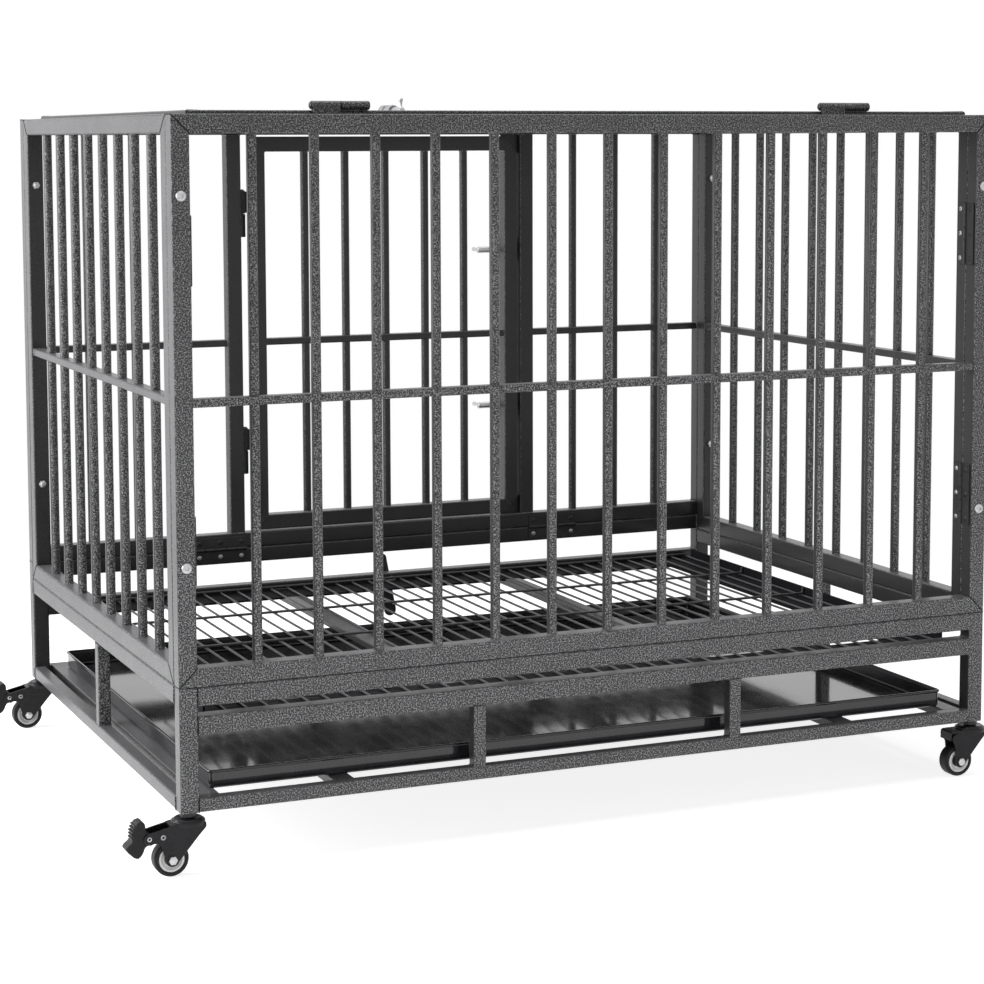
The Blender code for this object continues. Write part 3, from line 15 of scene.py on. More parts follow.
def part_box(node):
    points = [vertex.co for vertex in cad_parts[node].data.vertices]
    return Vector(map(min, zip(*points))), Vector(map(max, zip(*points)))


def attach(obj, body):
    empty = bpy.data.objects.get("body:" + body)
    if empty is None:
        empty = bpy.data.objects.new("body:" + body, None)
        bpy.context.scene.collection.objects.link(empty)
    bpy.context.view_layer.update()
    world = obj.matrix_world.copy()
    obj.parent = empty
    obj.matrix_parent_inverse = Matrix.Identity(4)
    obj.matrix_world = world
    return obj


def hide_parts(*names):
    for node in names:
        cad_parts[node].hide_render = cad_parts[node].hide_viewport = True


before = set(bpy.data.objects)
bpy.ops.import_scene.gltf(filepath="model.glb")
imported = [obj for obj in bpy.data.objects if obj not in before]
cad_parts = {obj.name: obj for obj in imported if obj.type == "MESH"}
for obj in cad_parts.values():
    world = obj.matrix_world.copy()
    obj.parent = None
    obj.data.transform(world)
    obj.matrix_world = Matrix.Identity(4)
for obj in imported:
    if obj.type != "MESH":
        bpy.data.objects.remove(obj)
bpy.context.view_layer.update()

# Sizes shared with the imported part
TOUCH = 0.0003
CASTER_HEIGHT = 0.072
TUBE = 0.022
SMALL_TUBE = 0.016
BAR_RADIUS = 0.006
MID_BAR_HEIGHT = 0.010
MID_BAR_DEPTH = 0.016
PANEL_HEIGHT = 0.6497
LID_PROUD = 0.0045
LID_GAP = 0.003
FLOOR_BAR_WIDTH = 0.025
FLOOR_BAR_HEIGHT = 0.011
LEDGE_SHEET = 0.003
LEDGE_WIDTH = 0.062
LEDGE_END_GAP = 0.016
LEDGE_LIP = 0.0135
LEDGE_NOTCH = 0.0069
FLOOR_WIRE = 0.0032
CARRIER_WIRE = 0.0036
CARRIER_BEND = 0.004
WIRE_SPACING = 0.026
END_BAR_WIDTH = 0.016
TRAY_BAR_WIDTH = 0.025
TRAY_BAR_RISE = 0.004
TRAY_BAR_INSET = 0.203
TRAY_HALF_X = 0.503
TRAY_HALF_Y = 0.3565
TRAY_DEPTH = 0.0225
DOOR_HINGE_GAP = 0.015
DOOR_LATCH_GAP = 0.004
DOOR_END_GAP = 0.0025
DOOR_CORNER_CUT = 0.026
DOOR_HINGE_HEIGHTS = (0.380, 0.730)
DOOR_BOLT_HEIGHTS = (0.429, 0.669)
DOOR_BARREL_RADIUS = 0.0055
DOOR_BARREL_LENGTH = 0.068
LID_BARREL_RADIUS = 0.0052
LID_BARREL_LENGTH = 0.071
LID_HINGE_SPREAD = 0.337
LID_LEDGE_SPREAD = 0.380
FOLD_HINGE_HEIGHTS = (0.3735, 0.7140)
BASE_HINGE_SPREAD = 0.268
BUTT_HALF_LENGTH = 0.040
BUTT_HALF_WIDTH = 0.018
BUTT_LEAF = 0.0016
CORNER_BOLT_HEIGHTS = (0.3555, 0.7756)
BOLT_RADIUS = 0.0050
BOLT_AXIS_HEIGHT = 0.0085
BOLT_THROW = 0.022
LID_BOLT_THROW = 0.026
KNOB_RADIUS = 0.0032
DOOR_KNOB_LENGTH = 0.022
LID_KNOB_LENGTH = 0.013
DOOR_GUIDE_LENGTH = 0.026
LID_GUIDE_LENGTH = 0.020
GUIDE_HALF_HEIGHT = 0.019
KEEPER_LENGTH = 0.018
KEEPER_HALF_HEIGHT = 0.015
LEVER_LENGTH = 0.097
LEVER_SHEET = 0.004
LEVER_LEAN = -8.0
WHEEL_RADIUS = 0.0205
TREAD = 0.0052
CASTER_TRAIL = 0.022
HUB_WIDTH = 0.0196
FORK_INSIDE = HUB_WIDTH / 2 + 0.0006
FORK_WALL = 0.0020
FORK_OUTSIDE = FORK_INSIDE + FORK_WALL
FORK_TOP = 0.0620
FORK_HEAD_RADIUS = 0.0205
RACE_TOP = 0.0660
FORK_LIP_REACH = -0.0380
FORK_LIP_LOW = 0.0490
BRAKE_PIVOT = (-0.0488, 0.0478)

# Roundings, eased edges and welds of the real tube and sheet
TUBE_ROUND = 0.0024
SMALL_ROUND = 0.0018
MID_BAR_ROUND = 0.0016
TRAY_BAR_ROUND = 0.0016
FLOOR_BAR_ROUND = 0.0014
EASE = 0.0004
THIN_EASE = 0.0003
TUBE_WELD = 0.0010
BAR_WELD = 0.0009
MID_BAR_WELD = 0.0008
SUNK = 0.003
SHARP_ANGLE = 38.0

# Faces and levels
END_X = 0.545
FACE_Y = 0.3885
INNER_X = END_X - TUBE
INNER_Y = FACE_Y - TUBE
POST_X = END_X - TUBE / 2
POST_Y = FACE_Y - TUBE / 2
BASE_TOP = 0.217
BACK_BASE_TOP = BASE_TOP + TUBE
PANEL_BOTTOM = BASE_TOP + TOUCH
BACK_PANEL_BOTTOM = BACK_BASE_TOP + TOUCH
PANEL_TOP = PANEL_BOTTOM + PANEL_HEIGHT
PANEL_MIDDLE = (PANEL_BOTTOM + PANEL_TOP) / 2
LID_TOP = PANEL_TOP + LID_PROUD
SECOND_RAIL_TOP = BASE_TOP - TUBE - 0.011
SECOND_RAIL_BOTTOM = SECOND_RAIL_TOP - TUBE
LOW_RAIL_TOP = CASTER_HEIGHT + SMALL_TUBE
FLOOR_BAR_TOP = SECOND_RAIL_BOTTOM + FLOOR_BAR_HEIGHT
TRAY_BOTTOM = LOW_RAIL_TOP + TOUCH
TRAY_TOP = TRAY_BOTTOM + TRAY_DEPTH
OPENING_LEFT = -0.229
OPENING_RIGHT = 0.215
DOOR_LEFT = OPENING_LEFT + DOOR_HINGE_GAP
DOOR_RIGHT = OPENING_RIGHT - DOOR_LATCH_GAP
DOOR_BOTTOM = BACK_PANEL_BOTTOM + TUBE + DOOR_END_GAP
DOOR_TOP = PANEL_TOP - TUBE - DOOR_END_GAP
DOOR_AXIS = (OPENING_LEFT + DOOR_HINGE_GAP / 2, FACE_Y + 0.001)
LID_AXIS = (-INNER_Y + LID_GAP / 2, LID_TOP + LID_BARREL_RADIUS + TOUCH)

# Directions; a flat frame lies in the first two directions of its plane and is thick in the third
UPRIGHT_X = Matrix(((1, 0, 0), (0, 0, 1), (0, 1, 0)))
UPRIGHT_Y = Matrix(((0, 0, 1), (1, 0, 0), (0, 1, 0)))
LEVEL = Matrix(((1, 0, 0), (0, 1, 0), (0, 0, 1)))
AXES = {"X": Vector((1, 0, 0)), "Y": Vector((0, 1, 0)), "Z": Vector((0, 0, 1))}
LEFT_RIGHT = (("left", -1), ("right", 1))
FRONT_BACK = (("front", -1), ("back", 1))
LOWER_UPPER = ("lower", "upper")

# The photograph's camera, fitted to the crate's edges
CAMERA_PLACE = (-1.26698, -2.96544, 0.83749)
CAMERA_YAW = math.radians(23.29197)
CAMERA_PITCH = math.radians(5.62621)
CAMERA_ROLL = math.radians(-0.16483)
CAMERA_LENS = 87.097
CAMERA_SHIFT = -0.12

base_low, base_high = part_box("base_frame")
SHIFT = Vector(((base_low.x + base_high.x) / 2, (base_low.y + base_high.y) / 2, 0.0))


class Shape:
    """Closed shells of one piece; each face keeps the number of its finish."""

    def __init__(self):
        self.points = []
        self.faces = []
        self.finishes = []

    def merge(self, other, matrix):
        """Add a moved copy of another shape."""
        start = len(self.points)
        self.points += [matrix @ point for point in other.points]
        self.faces += [tuple(start + k for k in face) for face in other.faces]
        self.finishes += other.finishes

    def loft(self, rings, finish=0, loop=False, bands=None):
        """Skin rings of equal counts; open runs are capped. Bands give a finish to each span."""
        count = len(rings[0])
        start = len(self.points)
        self.points += [Vector(point) for ring in rings for point in ring]
        for step in range(len(rings) if loop else len(rings) - 1):
            low = start + step * count
            high = start + ((step + 1) % len(rings)) * count
            for side in range(count):
                after = (side + 1) % count
                self.faces.append((low + side, low + after, high + after, high + side))
                self.finishes.append(bands[step] if bands else finish)
        if not loop:
            last = start + (len(rings) - 1) * count
            self.faces.append(tuple(reversed(range(start, start + count))))
            self.faces.append(tuple(range(last, last + count)))
            self.finishes += [bands[0], bands[-1]] if bands else [finish, finish]

    def trim(self, point, normal):
        """Cut away what lies beyond a plane, and close the cut. All faces get the first finish."""
        cut = bmesh.new()
        vertices = [cut.verts.new(p) for p in self.points]
        for face in self.faces:
            cut.faces.new([vertices[k] for k in face])
        everything = [*cut.verts, *cut.edges, *cut.faces]
        bmesh.ops.bisect_plane(
            cut, geom=everything, plane_co=point, plane_no=normal, clear_outer=True,
        )
        rim = [edge for edge in cut.edges if edge.is_boundary]
        bmesh.ops.holes_fill(cut, edges=rim, sides=0)
        cut.verts.index_update()
        self.points = [vertex.co.copy() for vertex in cut.verts]
        self.faces = [tuple(vertex.index for vertex in face.verts) for face in cut.faces]
        self.finishes = [0] * len(self.faces)
        cut.free()


# Outlines and placing

def spread(low, high, count):
    """Places that divide a gap evenly, without its two ends."""
    return [low + (high - low) * (k + 1) / (count + 1) for k in range(count)]


def circle(radius, sides):
    turns = [2 * math.pi * (k + 0.5) / sides for k in range(sides)]
    return [(radius * math.cos(turn), radius * math.sin(turn)) for turn in turns]


def arc(centre, radius, start, end, steps):
    """Points on an arc between two angles in degrees."""
    turns = [math.radians(start + (end - start) * k / steps) for k in range(steps + 1)]
    return [(centre[0] + radius * math.cos(t), centre[1] + radius * math.sin(t)) for t in turns]


def rounded_section(width, height, radius, steps=4):
    """Points with outward normals round a rectangle whose corners are arcs, about its centre."""
    section = []
    for corner, (side_u, side_w) in enumerate(((1, 1), (-1, 1), (-1, -1), (1, -1))):
        for normal in arc((0, 0), 1.0, 90 * corner, 90 * corner + 90, steps):
            u = side_u * (width / 2 - radius) + radius * normal[0]
            w = side_w * (height / 2 - radius) + radius * normal[1]
            section.append(((u, w), normal))
    return section


def rounded_outline(low, high, radius, steps=5):
    centre = ((low[0] + high[0]) / 2, (low[1] + high[1]) / 2)
    section = rounded_section(high[0] - low[0], high[1] - low[1], radius, steps)
    return [(centre[0] + u, centre[1] + w) for (u, w), _ in section]


def counter_clockwise(outline):
    area = sum(a[0] * b[1] - b[0] * a[1] for a, b in zip(outline, outline[1:] + outline[:1]))
    return outline if area > 0 else outline[::-1]


def shrink(outline, inset):
    """Move each side of a closed outline inward by the inset, given counter-clockwise points."""
    result = []
    for k in range(len(outline)):
        here = Vector(outline[k])
        first = (here - Vector(outline[k - 1])).normalized()
        second = (Vector(outline[(k + 1) % len(outline)]) - here).normalized()
        bisector = Vector((-first.y - second.y, first.x + second.x))
        if bisector.length > 1e-6:
            bisector.normalize()
            here += bisector * inset / max(0.35, bisector.dot(Vector((-first.y, first.x))))
        result.append(tuple(here))
    return result


def softened(outline):
    """Cut an outline's corners to a quarter of each side, which rounds it a little."""
    result = []
    for a, b in zip(outline, outline[1:] + outline[:1]):
        result.append((0.75 * a[0] + 0.25 * b[0], 0.75 * a[1] + 0.25 * b[1]))
        result.append((0.25 * a[0] + 0.75 * b[0], 0.25 * a[1] + 0.75 * b[1]))
    return result


def at(x, y, z, turn=Matrix()):
    return Matrix.Translation((x, y, z)) @ turn


def rotated(degrees, axis):
    return Matrix.Rotation(math.radians(degrees), 4, axis)


def facing(direction, point):
    """The matrix that takes something drawn along +Z to a point and a direction."""
    return at(*point, Vector(direction).to_track_quat("Z", "Y").to_matrix().to_4x4())


# Shells

def fillet(shape, outline, along, size):
    """A weld in the corner between a bar and the face that it stands on."""
    rings = []
    for k, (point, normal) in enumerate(outline):
        reach = size * (1 + 0.18 * math.sin(2.4 * k + 40 * point.x + 25 * point.z))
        rings.append([
            point + along * reach * 1.2 - normal * 0.0002,
            point + along * reach * 0.42 + normal * reach * 0.42,
            point + normal * reach * 1.2 - along * 0.0002,
            point - along * 0.0004 - normal * 0.0004,
        ])
    shape.loft(rings, loop=True)


def seam(shape, outline, first, second):
    """A low bead across a mitre; first and second lead away from it along the two tubes."""
    rings = []
    for k, (point, normal) in enumerate(outline):
        rise = 0.00045 * (1 + 0.25 * math.sin(1.9 * k))
        rings.append([
            point + first * 0.0016 - normal * 0.0002,
            point + first * 0.0006 + normal * rise,
            point + second * 0.0006 + normal * rise,
            point + second * 0.0016 - normal * 0.0002,
        ])
    shape.loft(rings, 1, loop=True)


def length_of(shape, section, start, across, along, low, high, weld, sunk=0.0):
    """A length of one section along a direction, welded where its ends butt against faces."""
    def ring(distance):
        middle = start + along * distance
        return [middle + across[0] * u + across[1] * w for (u, w), _ in section]

    shape.loft([ring(low - sunk), ring(high + sunk)])
    if weld:
        normals = [across[0] * n[0] + across[1] * n[1] for _, n in section]
        fillet(shape, list(zip(ring(low), normals)), along, weld)
        fillet(shape, list(zip(ring(high), normals)), -along, weld)


def tube(shape, axis, low, high, centre, size=(TUBE, TUBE), radius=TUBE_ROUND, weld=0.0):
    """Square or flat tube along an axis; centre and size are in the other two directions."""
    across = [AXES[name] for name in "XYZ" if name != axis]
    start = across[0] * centre[0] + across[1] * centre[1]
    section = rounded_section(size[0], size[1], radius)
    length_of(shape, section, start, across, AXES[axis], low, high, weld)


def bar(shape, plane, place, low, high, middle):
    """A round bar between two rails of a flat frame, with a weld at each end."""
    right, up, out = plane.transposed()
    section = [((u, w), (u / BAR_RADIUS, w / BAR_RADIUS)) for u, w in circle(BAR_RADIUS, 20)]
    start = right * place + out * middle
    length_of(shape, section, start, (right, out), up, low, high, BAR_WELD, SUNK)


def mid_bar(shape, plane, low, high, level, middle):
    """The thin rail across the middle of a flat frame."""
    right, up, out = plane.transposed()
    section = rounded_section(MID_BAR_HEIGHT, MID_BAR_DEPTH, MID_BAR_ROUND)
    start = up * level + out * middle
    length_of(shape, section, start, (up, out), right, low, high, MID_BAR_WELD, SUNK)


def mitred_frame(shape, plane, low, high, middle):
    """A rectangular frame of square tube with a seam across each mitre."""
    section = rounded_section(TUBE, TUBE, TUBE_ROUND)
    rings = []
    for side_u, side_w in ((-1, -1), (1, -1), (1, 1), (-1, 1)):
        u = high[0] - TUBE / 2 if side_u > 0 else low[0] + TUBE / 2
        w = high[1] - TUBE / 2 if side_w > 0 else low[1] + TUBE / 2
        ring, normals = [], []
        for (out, depth), n in section:
            ring.append(plane @ Vector((u + side_u * out, w + side_w * out, middle + depth)))
            normals.append((plane @ Vector((side_u * n[0], side_w * n[0], n[1]))).normalized())
        first, second = plane @ Vector((-side_u, 0, 0)), plane @ Vector((0, -side_w, 0))
        seam(shape, list(zip(ring, normals)), first, second)
        rings.append(ring)
    shape.loft(rings, loop=True)


def barred(shape, plane, low, high, middle, bars, level):
    """A mitred frame with round bars and a thin rail across them."""
    mitred_frame(shape, plane, low, high, middle)
    for place in spread(low[0] + TUBE, high[0] - TUBE, bars):
        bar(shape, plane, place, low[1] + TUBE, high[1] - TUBE, middle)
    mid_bar(shape, plane, low[0] + TUBE, high[0] - TUBE, level, middle)


def turned(shape, start, axis, profile, sides=24, bands=None, loop=False):
    """A turned solid: the profile lists distance, radius and, for a nut, its number of flats."""
    along = AXES[axis]
    side = AXES["Y"] if axis == "X" else AXES["X"]
    up = along.cross(side)
    rings = []
    for distance, radius, *flats in profile:
        middle = Vector(start) + along * distance
        ring = []
        for k in range(sides):
            turn = 2 * math.pi * (k if flats else k + 0.5) / sides
            reach = radius
            if flats:
                wedge = 2 * math.pi / flats[0]
                reach = radius / math.cos(turn % wedge - wedge / 2)
            ring.append(middle + (side * math.cos(turn) + up * math.sin(turn)) * reach)
        rings.append(ring)
    shape.loft(rings, 0, loop, bands)


def spun(axis, profile, sides=24, bands=None, loop=False):
    """A shape that is one turned solid about an axis through the origin."""
    shape = Shape()
    turned(shape, (0, 0, 0), axis, profile, sides, bands, loop)
    return shape


def plate(shape, outline, plane, low, high, edge, finish=0):
    """A flat plate with eased edges; its outline lies in the plane's first two directions."""
    wide = counter_clockwise(list(outline))
    eased = shrink(wide, edge)
    rings = []
    for points, depth in ((eased, low), (wide, low + edge), (wide, high - edge), (eased, high)):
        rings.append([plane @ Vector((u, w, depth)) for u, w in points])
    shape.loft(rings, finish)


def sweep(shape, path, radius, across, sides):
    """A round wire along a path that lies in one plane; across is that plane's normal."""
    path = [Vector(point) for point in path]
    rings = []
    for k, point in enumerate(path):
        tangent = (path[min(k + 1, len(path) - 1)] - path[max(k - 1, 0)]).normalized()
        up = tangent.cross(across)
        rings.append([point + across * u + up * w for u, w in circle(radius, sides)])
    shape.loft(rings)


def screw(radius, height, sides=16, finish=0):
    """A small domed head with a recess, on the plane Z = 0."""
    return spun("Z", (
        (-0.0006, radius * 0.96), (0.0, radius), (height * 0.45, radius * 0.93),
        (height * 0.8, radius * 0.74), (height, radius * 0.5), (height, radius * 0.38),
        (height * 0.3, radius * 0.34),
    ), sides, [finish] * 6)


# Finishes

def node(tree, kind, sockets=None, **settings):
    """Add a shader node; sockets gives each input a value or another node's output."""
    item = tree.nodes.new("ShaderNode" + kind)
    for name, value in settings.items():
        setattr(item, name, value)
    for socket, value in (sockets or {}).items():
        if isinstance(value, bpy.types.NodeSocket):
            tree.links.new(value, item.inputs[socket])
        else:
            item.inputs[socket].default_value = value
    return item


class Finish:
    """A procedural material in the making, over the piece's own coordinates."""

    def __init__(self, name, sockets):
        self.material = bpy.data.materials.new(name)
        self.material.use_nodes = True
        self.tree = self.material.node_tree
        self.shader = self.tree.nodes["Principled BSDF"]
        for socket, value in sockets.items():
            self.shader.inputs[socket].default_value = value
        self.place = self.node("TexCoord").outputs["Object"]

    def node(self, kind, sockets=None, **settings):
        return node(self.tree, kind, sockets, **settings)

    def feed(self, socket, output):
        self.tree.links.new(output, self.shader.inputs[socket])

    def noise(self, scale, detail=2.0, roughness=0.5, place=None):
        vector = self.place if place is None else place
        return self.node("TexNoise", {
            "Vector": vector, "Scale": scale, "Detail": detail, "Roughness": roughness,
        }).outputs["Fac"]

    def ramp(self, factor, *stops):
        """Colours by a factor; a stop is a position with a colour, or with a number for grey."""
        item = self.node("ValToRGB", {"Fac": factor})
        elements = item.color_ramp.elements
        while len(elements) < len(stops):
            elements.new(0.5)
        for element, (position, colour) in zip(elements, stops):
            element.position = position
            element.color = (*((colour,) * 3 if isinstance(colour, float) else colour), 1.0)
        return item.outputs["Color"]

    def blend(self, kind, factor, first, second):
        """Mix two colours; the factor is a number or an output."""
        sockets = {0: factor, 6: first, 7: second}
        return self.node("Mix", sockets, data_type="RGBA", blend_type=kind).outputs[2]

    def bump(self, height, strength, distance):
        sockets = {"Height": height, "Strength": strength, "Distance": distance}
        self.feed("Normal", self.node("Bump", sockets).outputs["Normal"])


def painted_light_masks(paint):
    """Masks for painted light: outer end faces and tops, painted lighter as if lit from the side
    and from above, and other faces that look in or sideways, painted darker as shade.
    """
    normal = paint.node("TexCoord").outputs["Normal"]
    product = paint.node("VectorMath", {0: normal, 1: paint.place}, operation="MULTIPLY")
    outward = paint.node("SeparateXYZ", {0: product.outputs[0]}).outputs
    looks = paint.node("SeparateXYZ", {0: normal}).outputs
    sideways = paint.node("Math", {0: looks["X"]}, operation="ABSOLUTE").outputs[0]
    inward = {"Value": outward["Y"], "From Min": -0.20, "From Max": -0.32}
    either = {
        0: paint.ramp(sideways, (0.70, 0.0), (0.86, 1.0)),
        1: paint.node("MapRange", inward).outputs[0],
    }
    inner = paint.node("Math", either, operation="MAXIMUM").outputs[0]
    ends = paint.ramp(outward["X"], (0.492, 0.0), (0.502, 1.0))
    lit_tops = paint.ramp(looks["Z"], (0.70, 0.0), (0.86, 1.0))
    return ends, inner, lit_tops


def hammertone():
    """Grey hammered enamel: dark with fine light specks. Painted shade gives faces that look in or
    sideways a dark smooth tone, and painted light gives tops and outer end faces lighter smooth
    tones.
    """
    paint = Finish("hammertone_enamel_with_painted_light", {
        "Metallic": 0.0, "Coat Weight": 0.20, "Coat Roughness": 0.14, "Specular IOR Level": 0.3,
    })
    pits = paint.noise(600.0, 1.5, 0.55)
    colour = paint.ramp(
        pits, (0.42, (0.025, 0.025, 0.027)), (0.49, (0.057, 0.057, 0.060)),
        (0.55, (0.165, 0.165, 0.170)), (0.61, (0.345, 0.345, 0.350)),
    )
    ends, inner, lit_tops = painted_light_masks(paint)
    # Painted light and shade: a dark smooth tone on inner and sideways faces, lighter smooth tones
    # on tops and outer end faces
    for mask, low, high in ((inner, 0.020, 0.036), (lit_tops, 0.140, 0.180), (ends, 0.098, 0.130)):
        dark, light = (low, low, low * 1.05), (high, high, high * 1.04)
        painted_light_tone = paint.ramp(pits, (0.35, dark), (0.65, light))
        colour = paint.blend("MIX", mask, colour, painted_light_tone)
    patches = paint.ramp(paint.noise(26.0, 3.0), (0.3, 0.82), (0.7, 1.0))
    paint.feed("Base Color", paint.blend("MULTIPLY", 1.0, colour, patches))
    paint.feed("Roughness", paint.ramp(pits, (0.35, 0.50), (0.62, 0.34)))
    paint.bump(pits, 0.25, 0.0004)
    return paint.material


def coated(name, sockets, shade, colours, roughnesses, grain, strength, depth):
    """Colour and roughness by one noise, and a fine grain by another.

    colours and roughnesses are the ramps' stops; shade and grain are a scale and what follows it.
    """
    paint = Finish(name, sockets)
    tone = paint.noise(*shade)
    paint.feed("Base Color", paint.ramp(tone, *colours))
    paint.feed("Roughness", paint.ramp(tone, *roughnesses))
    paint.bump(paint.noise(*grain), strength, depth)
    return paint.material


def steel(name, colour, roughness, streaks):
    """Zinc-plated steel with a faint mottle and fine lines."""
    dark = tuple(value * 0.72 for value in colour)
    colours = ((0.35, dark), (0.65, colour))
    roughnesses = ((0.3, roughness * 1.4), (0.7, roughness))
    shade, grain = (streaks, 4.0, 0.6), (2200.0, 3.0)
    return coated(name, {"Metallic": 1.0}, shade, colours, roughnesses, grain, 0.12, 0.0001)


def enamel(name, colour, roughness, coat, grain, strength, gloss=0.35):
    """Gloss paint over metal, with a slight ripple and a little dust."""
    sockets = {"Coat Weight": coat, "Coat Roughness": 0.08, "Specular IOR Level": gloss}
    colours = ((0.42, colour), (0.75, tuple(value + 0.008 for value in colour)))
    roughnesses = ((0.35, roughness), (0.75, roughness * 1.6))
    shade = (55.0, 5.0, 0.65)
    return coated(name, sockets, shade, colours, roughnesses, (grain, 3.0), strength, 0.0003)


def moulded(name, colour, roughness, grain=900.0, strength=0.15):
    """Moulded plastic or rubber with a fine even grain."""
    sockets = {"Specular IOR Level": 0.22}
    colours = ((0.3, tuple(value * 0.82 for value in colour)), (0.7, colour))
    roughnesses = ((0.3, roughness), (0.7, roughness * 0.85))
    return coated(name, sockets, (140.0, 3.0), colours, roughnesses, (grain, 2.0), strength, 0.0002)


def sheet_enamel():
    """The tray's gloss black enamel: a long ripple in the sheet, and lighter streaks along X on its
    floor, a painted reflection of light lines.
    """
    paint = Finish("tray_gloss_enamel", {
        "Coat Weight": 0.40, "Coat Roughness": 0.05, "Specular IOR Level": 0.40,
    })
    dust = paint.noise(22.0, 6.0, 0.7)
    stretched = paint.node("Mapping", {"Vector": paint.place, "Scale": (14.0, 190.0, 60.0)})
    strokes = paint.noise(1.0, 4.0, 0.7, stretched.outputs["Vector"])
    # Painted reflection: lighter streaks along X stand for the light lines that the floor reflects
    painted_reflection_streaks = paint.ramp(strokes, (0.66, 0.0), (0.80, 1.0))
    ground = paint.ramp(dust, (0.35, (0.012, 0.012, 0.014)), (0.75, (0.024, 0.024, 0.027)))
    reflection_tone = paint.ramp(dust, (0.0, (0.052, 0.052, 0.055)), (1.0, (0.034, 0.034, 0.036)))
    paint.feed("Base Color", paint.blend("MIX", painted_reflection_streaks, ground, reflection_tone))
    paint.feed("Roughness", paint.ramp(dust, (0.3, 0.07), (0.8, 0.15)))
    paint.bump(paint.noise(7.0, 1.0), 0.12, 0.003)
    return paint.material


# The hammertone holds painted light and shade that follow each face's direction
HAMMERTONE_WITH_PAINTED_LIGHT = hammertone()
SEAM_PAINT = enamel("seam_paint", (0.020, 0.020, 0.021), 0.50, 0.0, 900.0, 0.20, 0.15)
# Painted shade: the ledges' near-black finish stands for the shade under the rails
LEDGE_PAINTED_SHADE = enamel("ledge_black_painted_shade", (0.010, 0.010, 0.012), 0.60, 0.0, 500.0, 0.20, 0.08)
ZINC = steel("zinc_plate", (0.44, 0.44, 0.45), 0.42, 420.0)
BOLT_STEEL = steel("bright_bolt_zinc", (0.62, 0.62, 0.63), 0.30, 700.0)
DARK_STEEL = enamel("hinge_black", (0.014, 0.014, 0.015), 0.36, 0.15, 700.0, 0.20)
FORK_PAINT = enamel("fork_gloss_black", (0.010, 0.010, 0.012), 0.22, 0.2, 300.0, 0.10, 0.12)
WIRE_PAINT = enamel("floor_wire_grey", (0.075, 0.075, 0.078), 0.34, 0.2, 900.0, 0.20)
LEVER_PAINT = enamel("lever_black", (0.020, 0.020, 0.022), 0.32, 0.3, 700.0, 0.20)
TRAY_ENAMEL = sheet_enamel()
PEDAL_PLASTIC = moulded("pedal_plastic", (0.013, 0.013, 0.014), 0.42)
RUBBER = moulded("tread_rubber", (0.013, 0.013, 0.014), 0.52, 1300.0, 0.25)
WHITE_PLASTIC = moulded("wheel_white_plastic", (0.96, 0.96, 0.95), 0.30, 1100.0, 0.06)
HUB_PLASTIC = moulded("wheel_hub_plastic", (0.030, 0.030, 0.032), 0.36)

# Looks: a slot of the record with the finishes that its pieces show
BASE_LOOK = ("hammertone_paint", [HAMMERTONE_WITH_PAINTED_LIGHT, LEDGE_PAINTED_SHADE])
PANEL_LOOK = ("hammertone_paint", [HAMMERTONE_WITH_PAINTED_LIGHT, SEAM_PAINT])
WIRE_LOOK = ("hammertone_paint", [WIRE_PAINT])
TRAY_LOOK = ("tray_enamel", [TRAY_ENAMEL])
LEVER_LOOK = ("lever_paint", [LEVER_PAINT])
STRAP_LOOK = ("zinc_steel", [ZINC])
BOLT_LOOK = ("zinc_steel", [BOLT_STEEL])
PIN_LOOK = ("black_steel", [DARK_STEEL])
HINGE_LOOK = ("black_steel", [DARK_STEEL, ZINC])
FORK_LOOK = ("black_steel", [FORK_PAINT, ZINC])
WHEEL_LOOK = ("wheel_plastic", [WHITE_PLASTIC, HUB_PLASTIC])
TREAD_LOOK = ("tread_rubber", [RUBBER])
PEDAL_LOOK = ("pedal_plastic", [PEDAL_PLASTIC, BOLT_STEEL])


def make(shape, name, body, look, nodes, place=Matrix()):
    """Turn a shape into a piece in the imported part's frame and hang it on its body."""
    slot, finishes = look
    mesh = bpy.data.meshes.new(name)
    mesh.from_pydata([tuple(place @ point + SHIFT) for point in shape.points], [], shape.faces)
    for finish in finishes:
        mesh.materials.append(finish)
    mesh.polygons.foreach_set("material_index", shape.finishes)
    solid = bmesh.new()
    solid.from_mesh(mesh)
    bmesh.ops.recalc_face_normals(solid, faces=solid.faces)
    solid.to_mesh(mesh)
    solid.free()
    mesh.shade_smooth()
    mesh.set_sharp_from_angle(angle=math.radians(SHARP_ANGLE))
    item = bpy.data.objects.new(name, mesh)
    bpy.context.scene.collection.objects.link(item)
    weighted = item.modifiers.new("even_shading", "WEIGHTED_NORMAL")
    weighted.keep_sharp = True
    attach(item, body)
    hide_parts(*nodes)


# The base

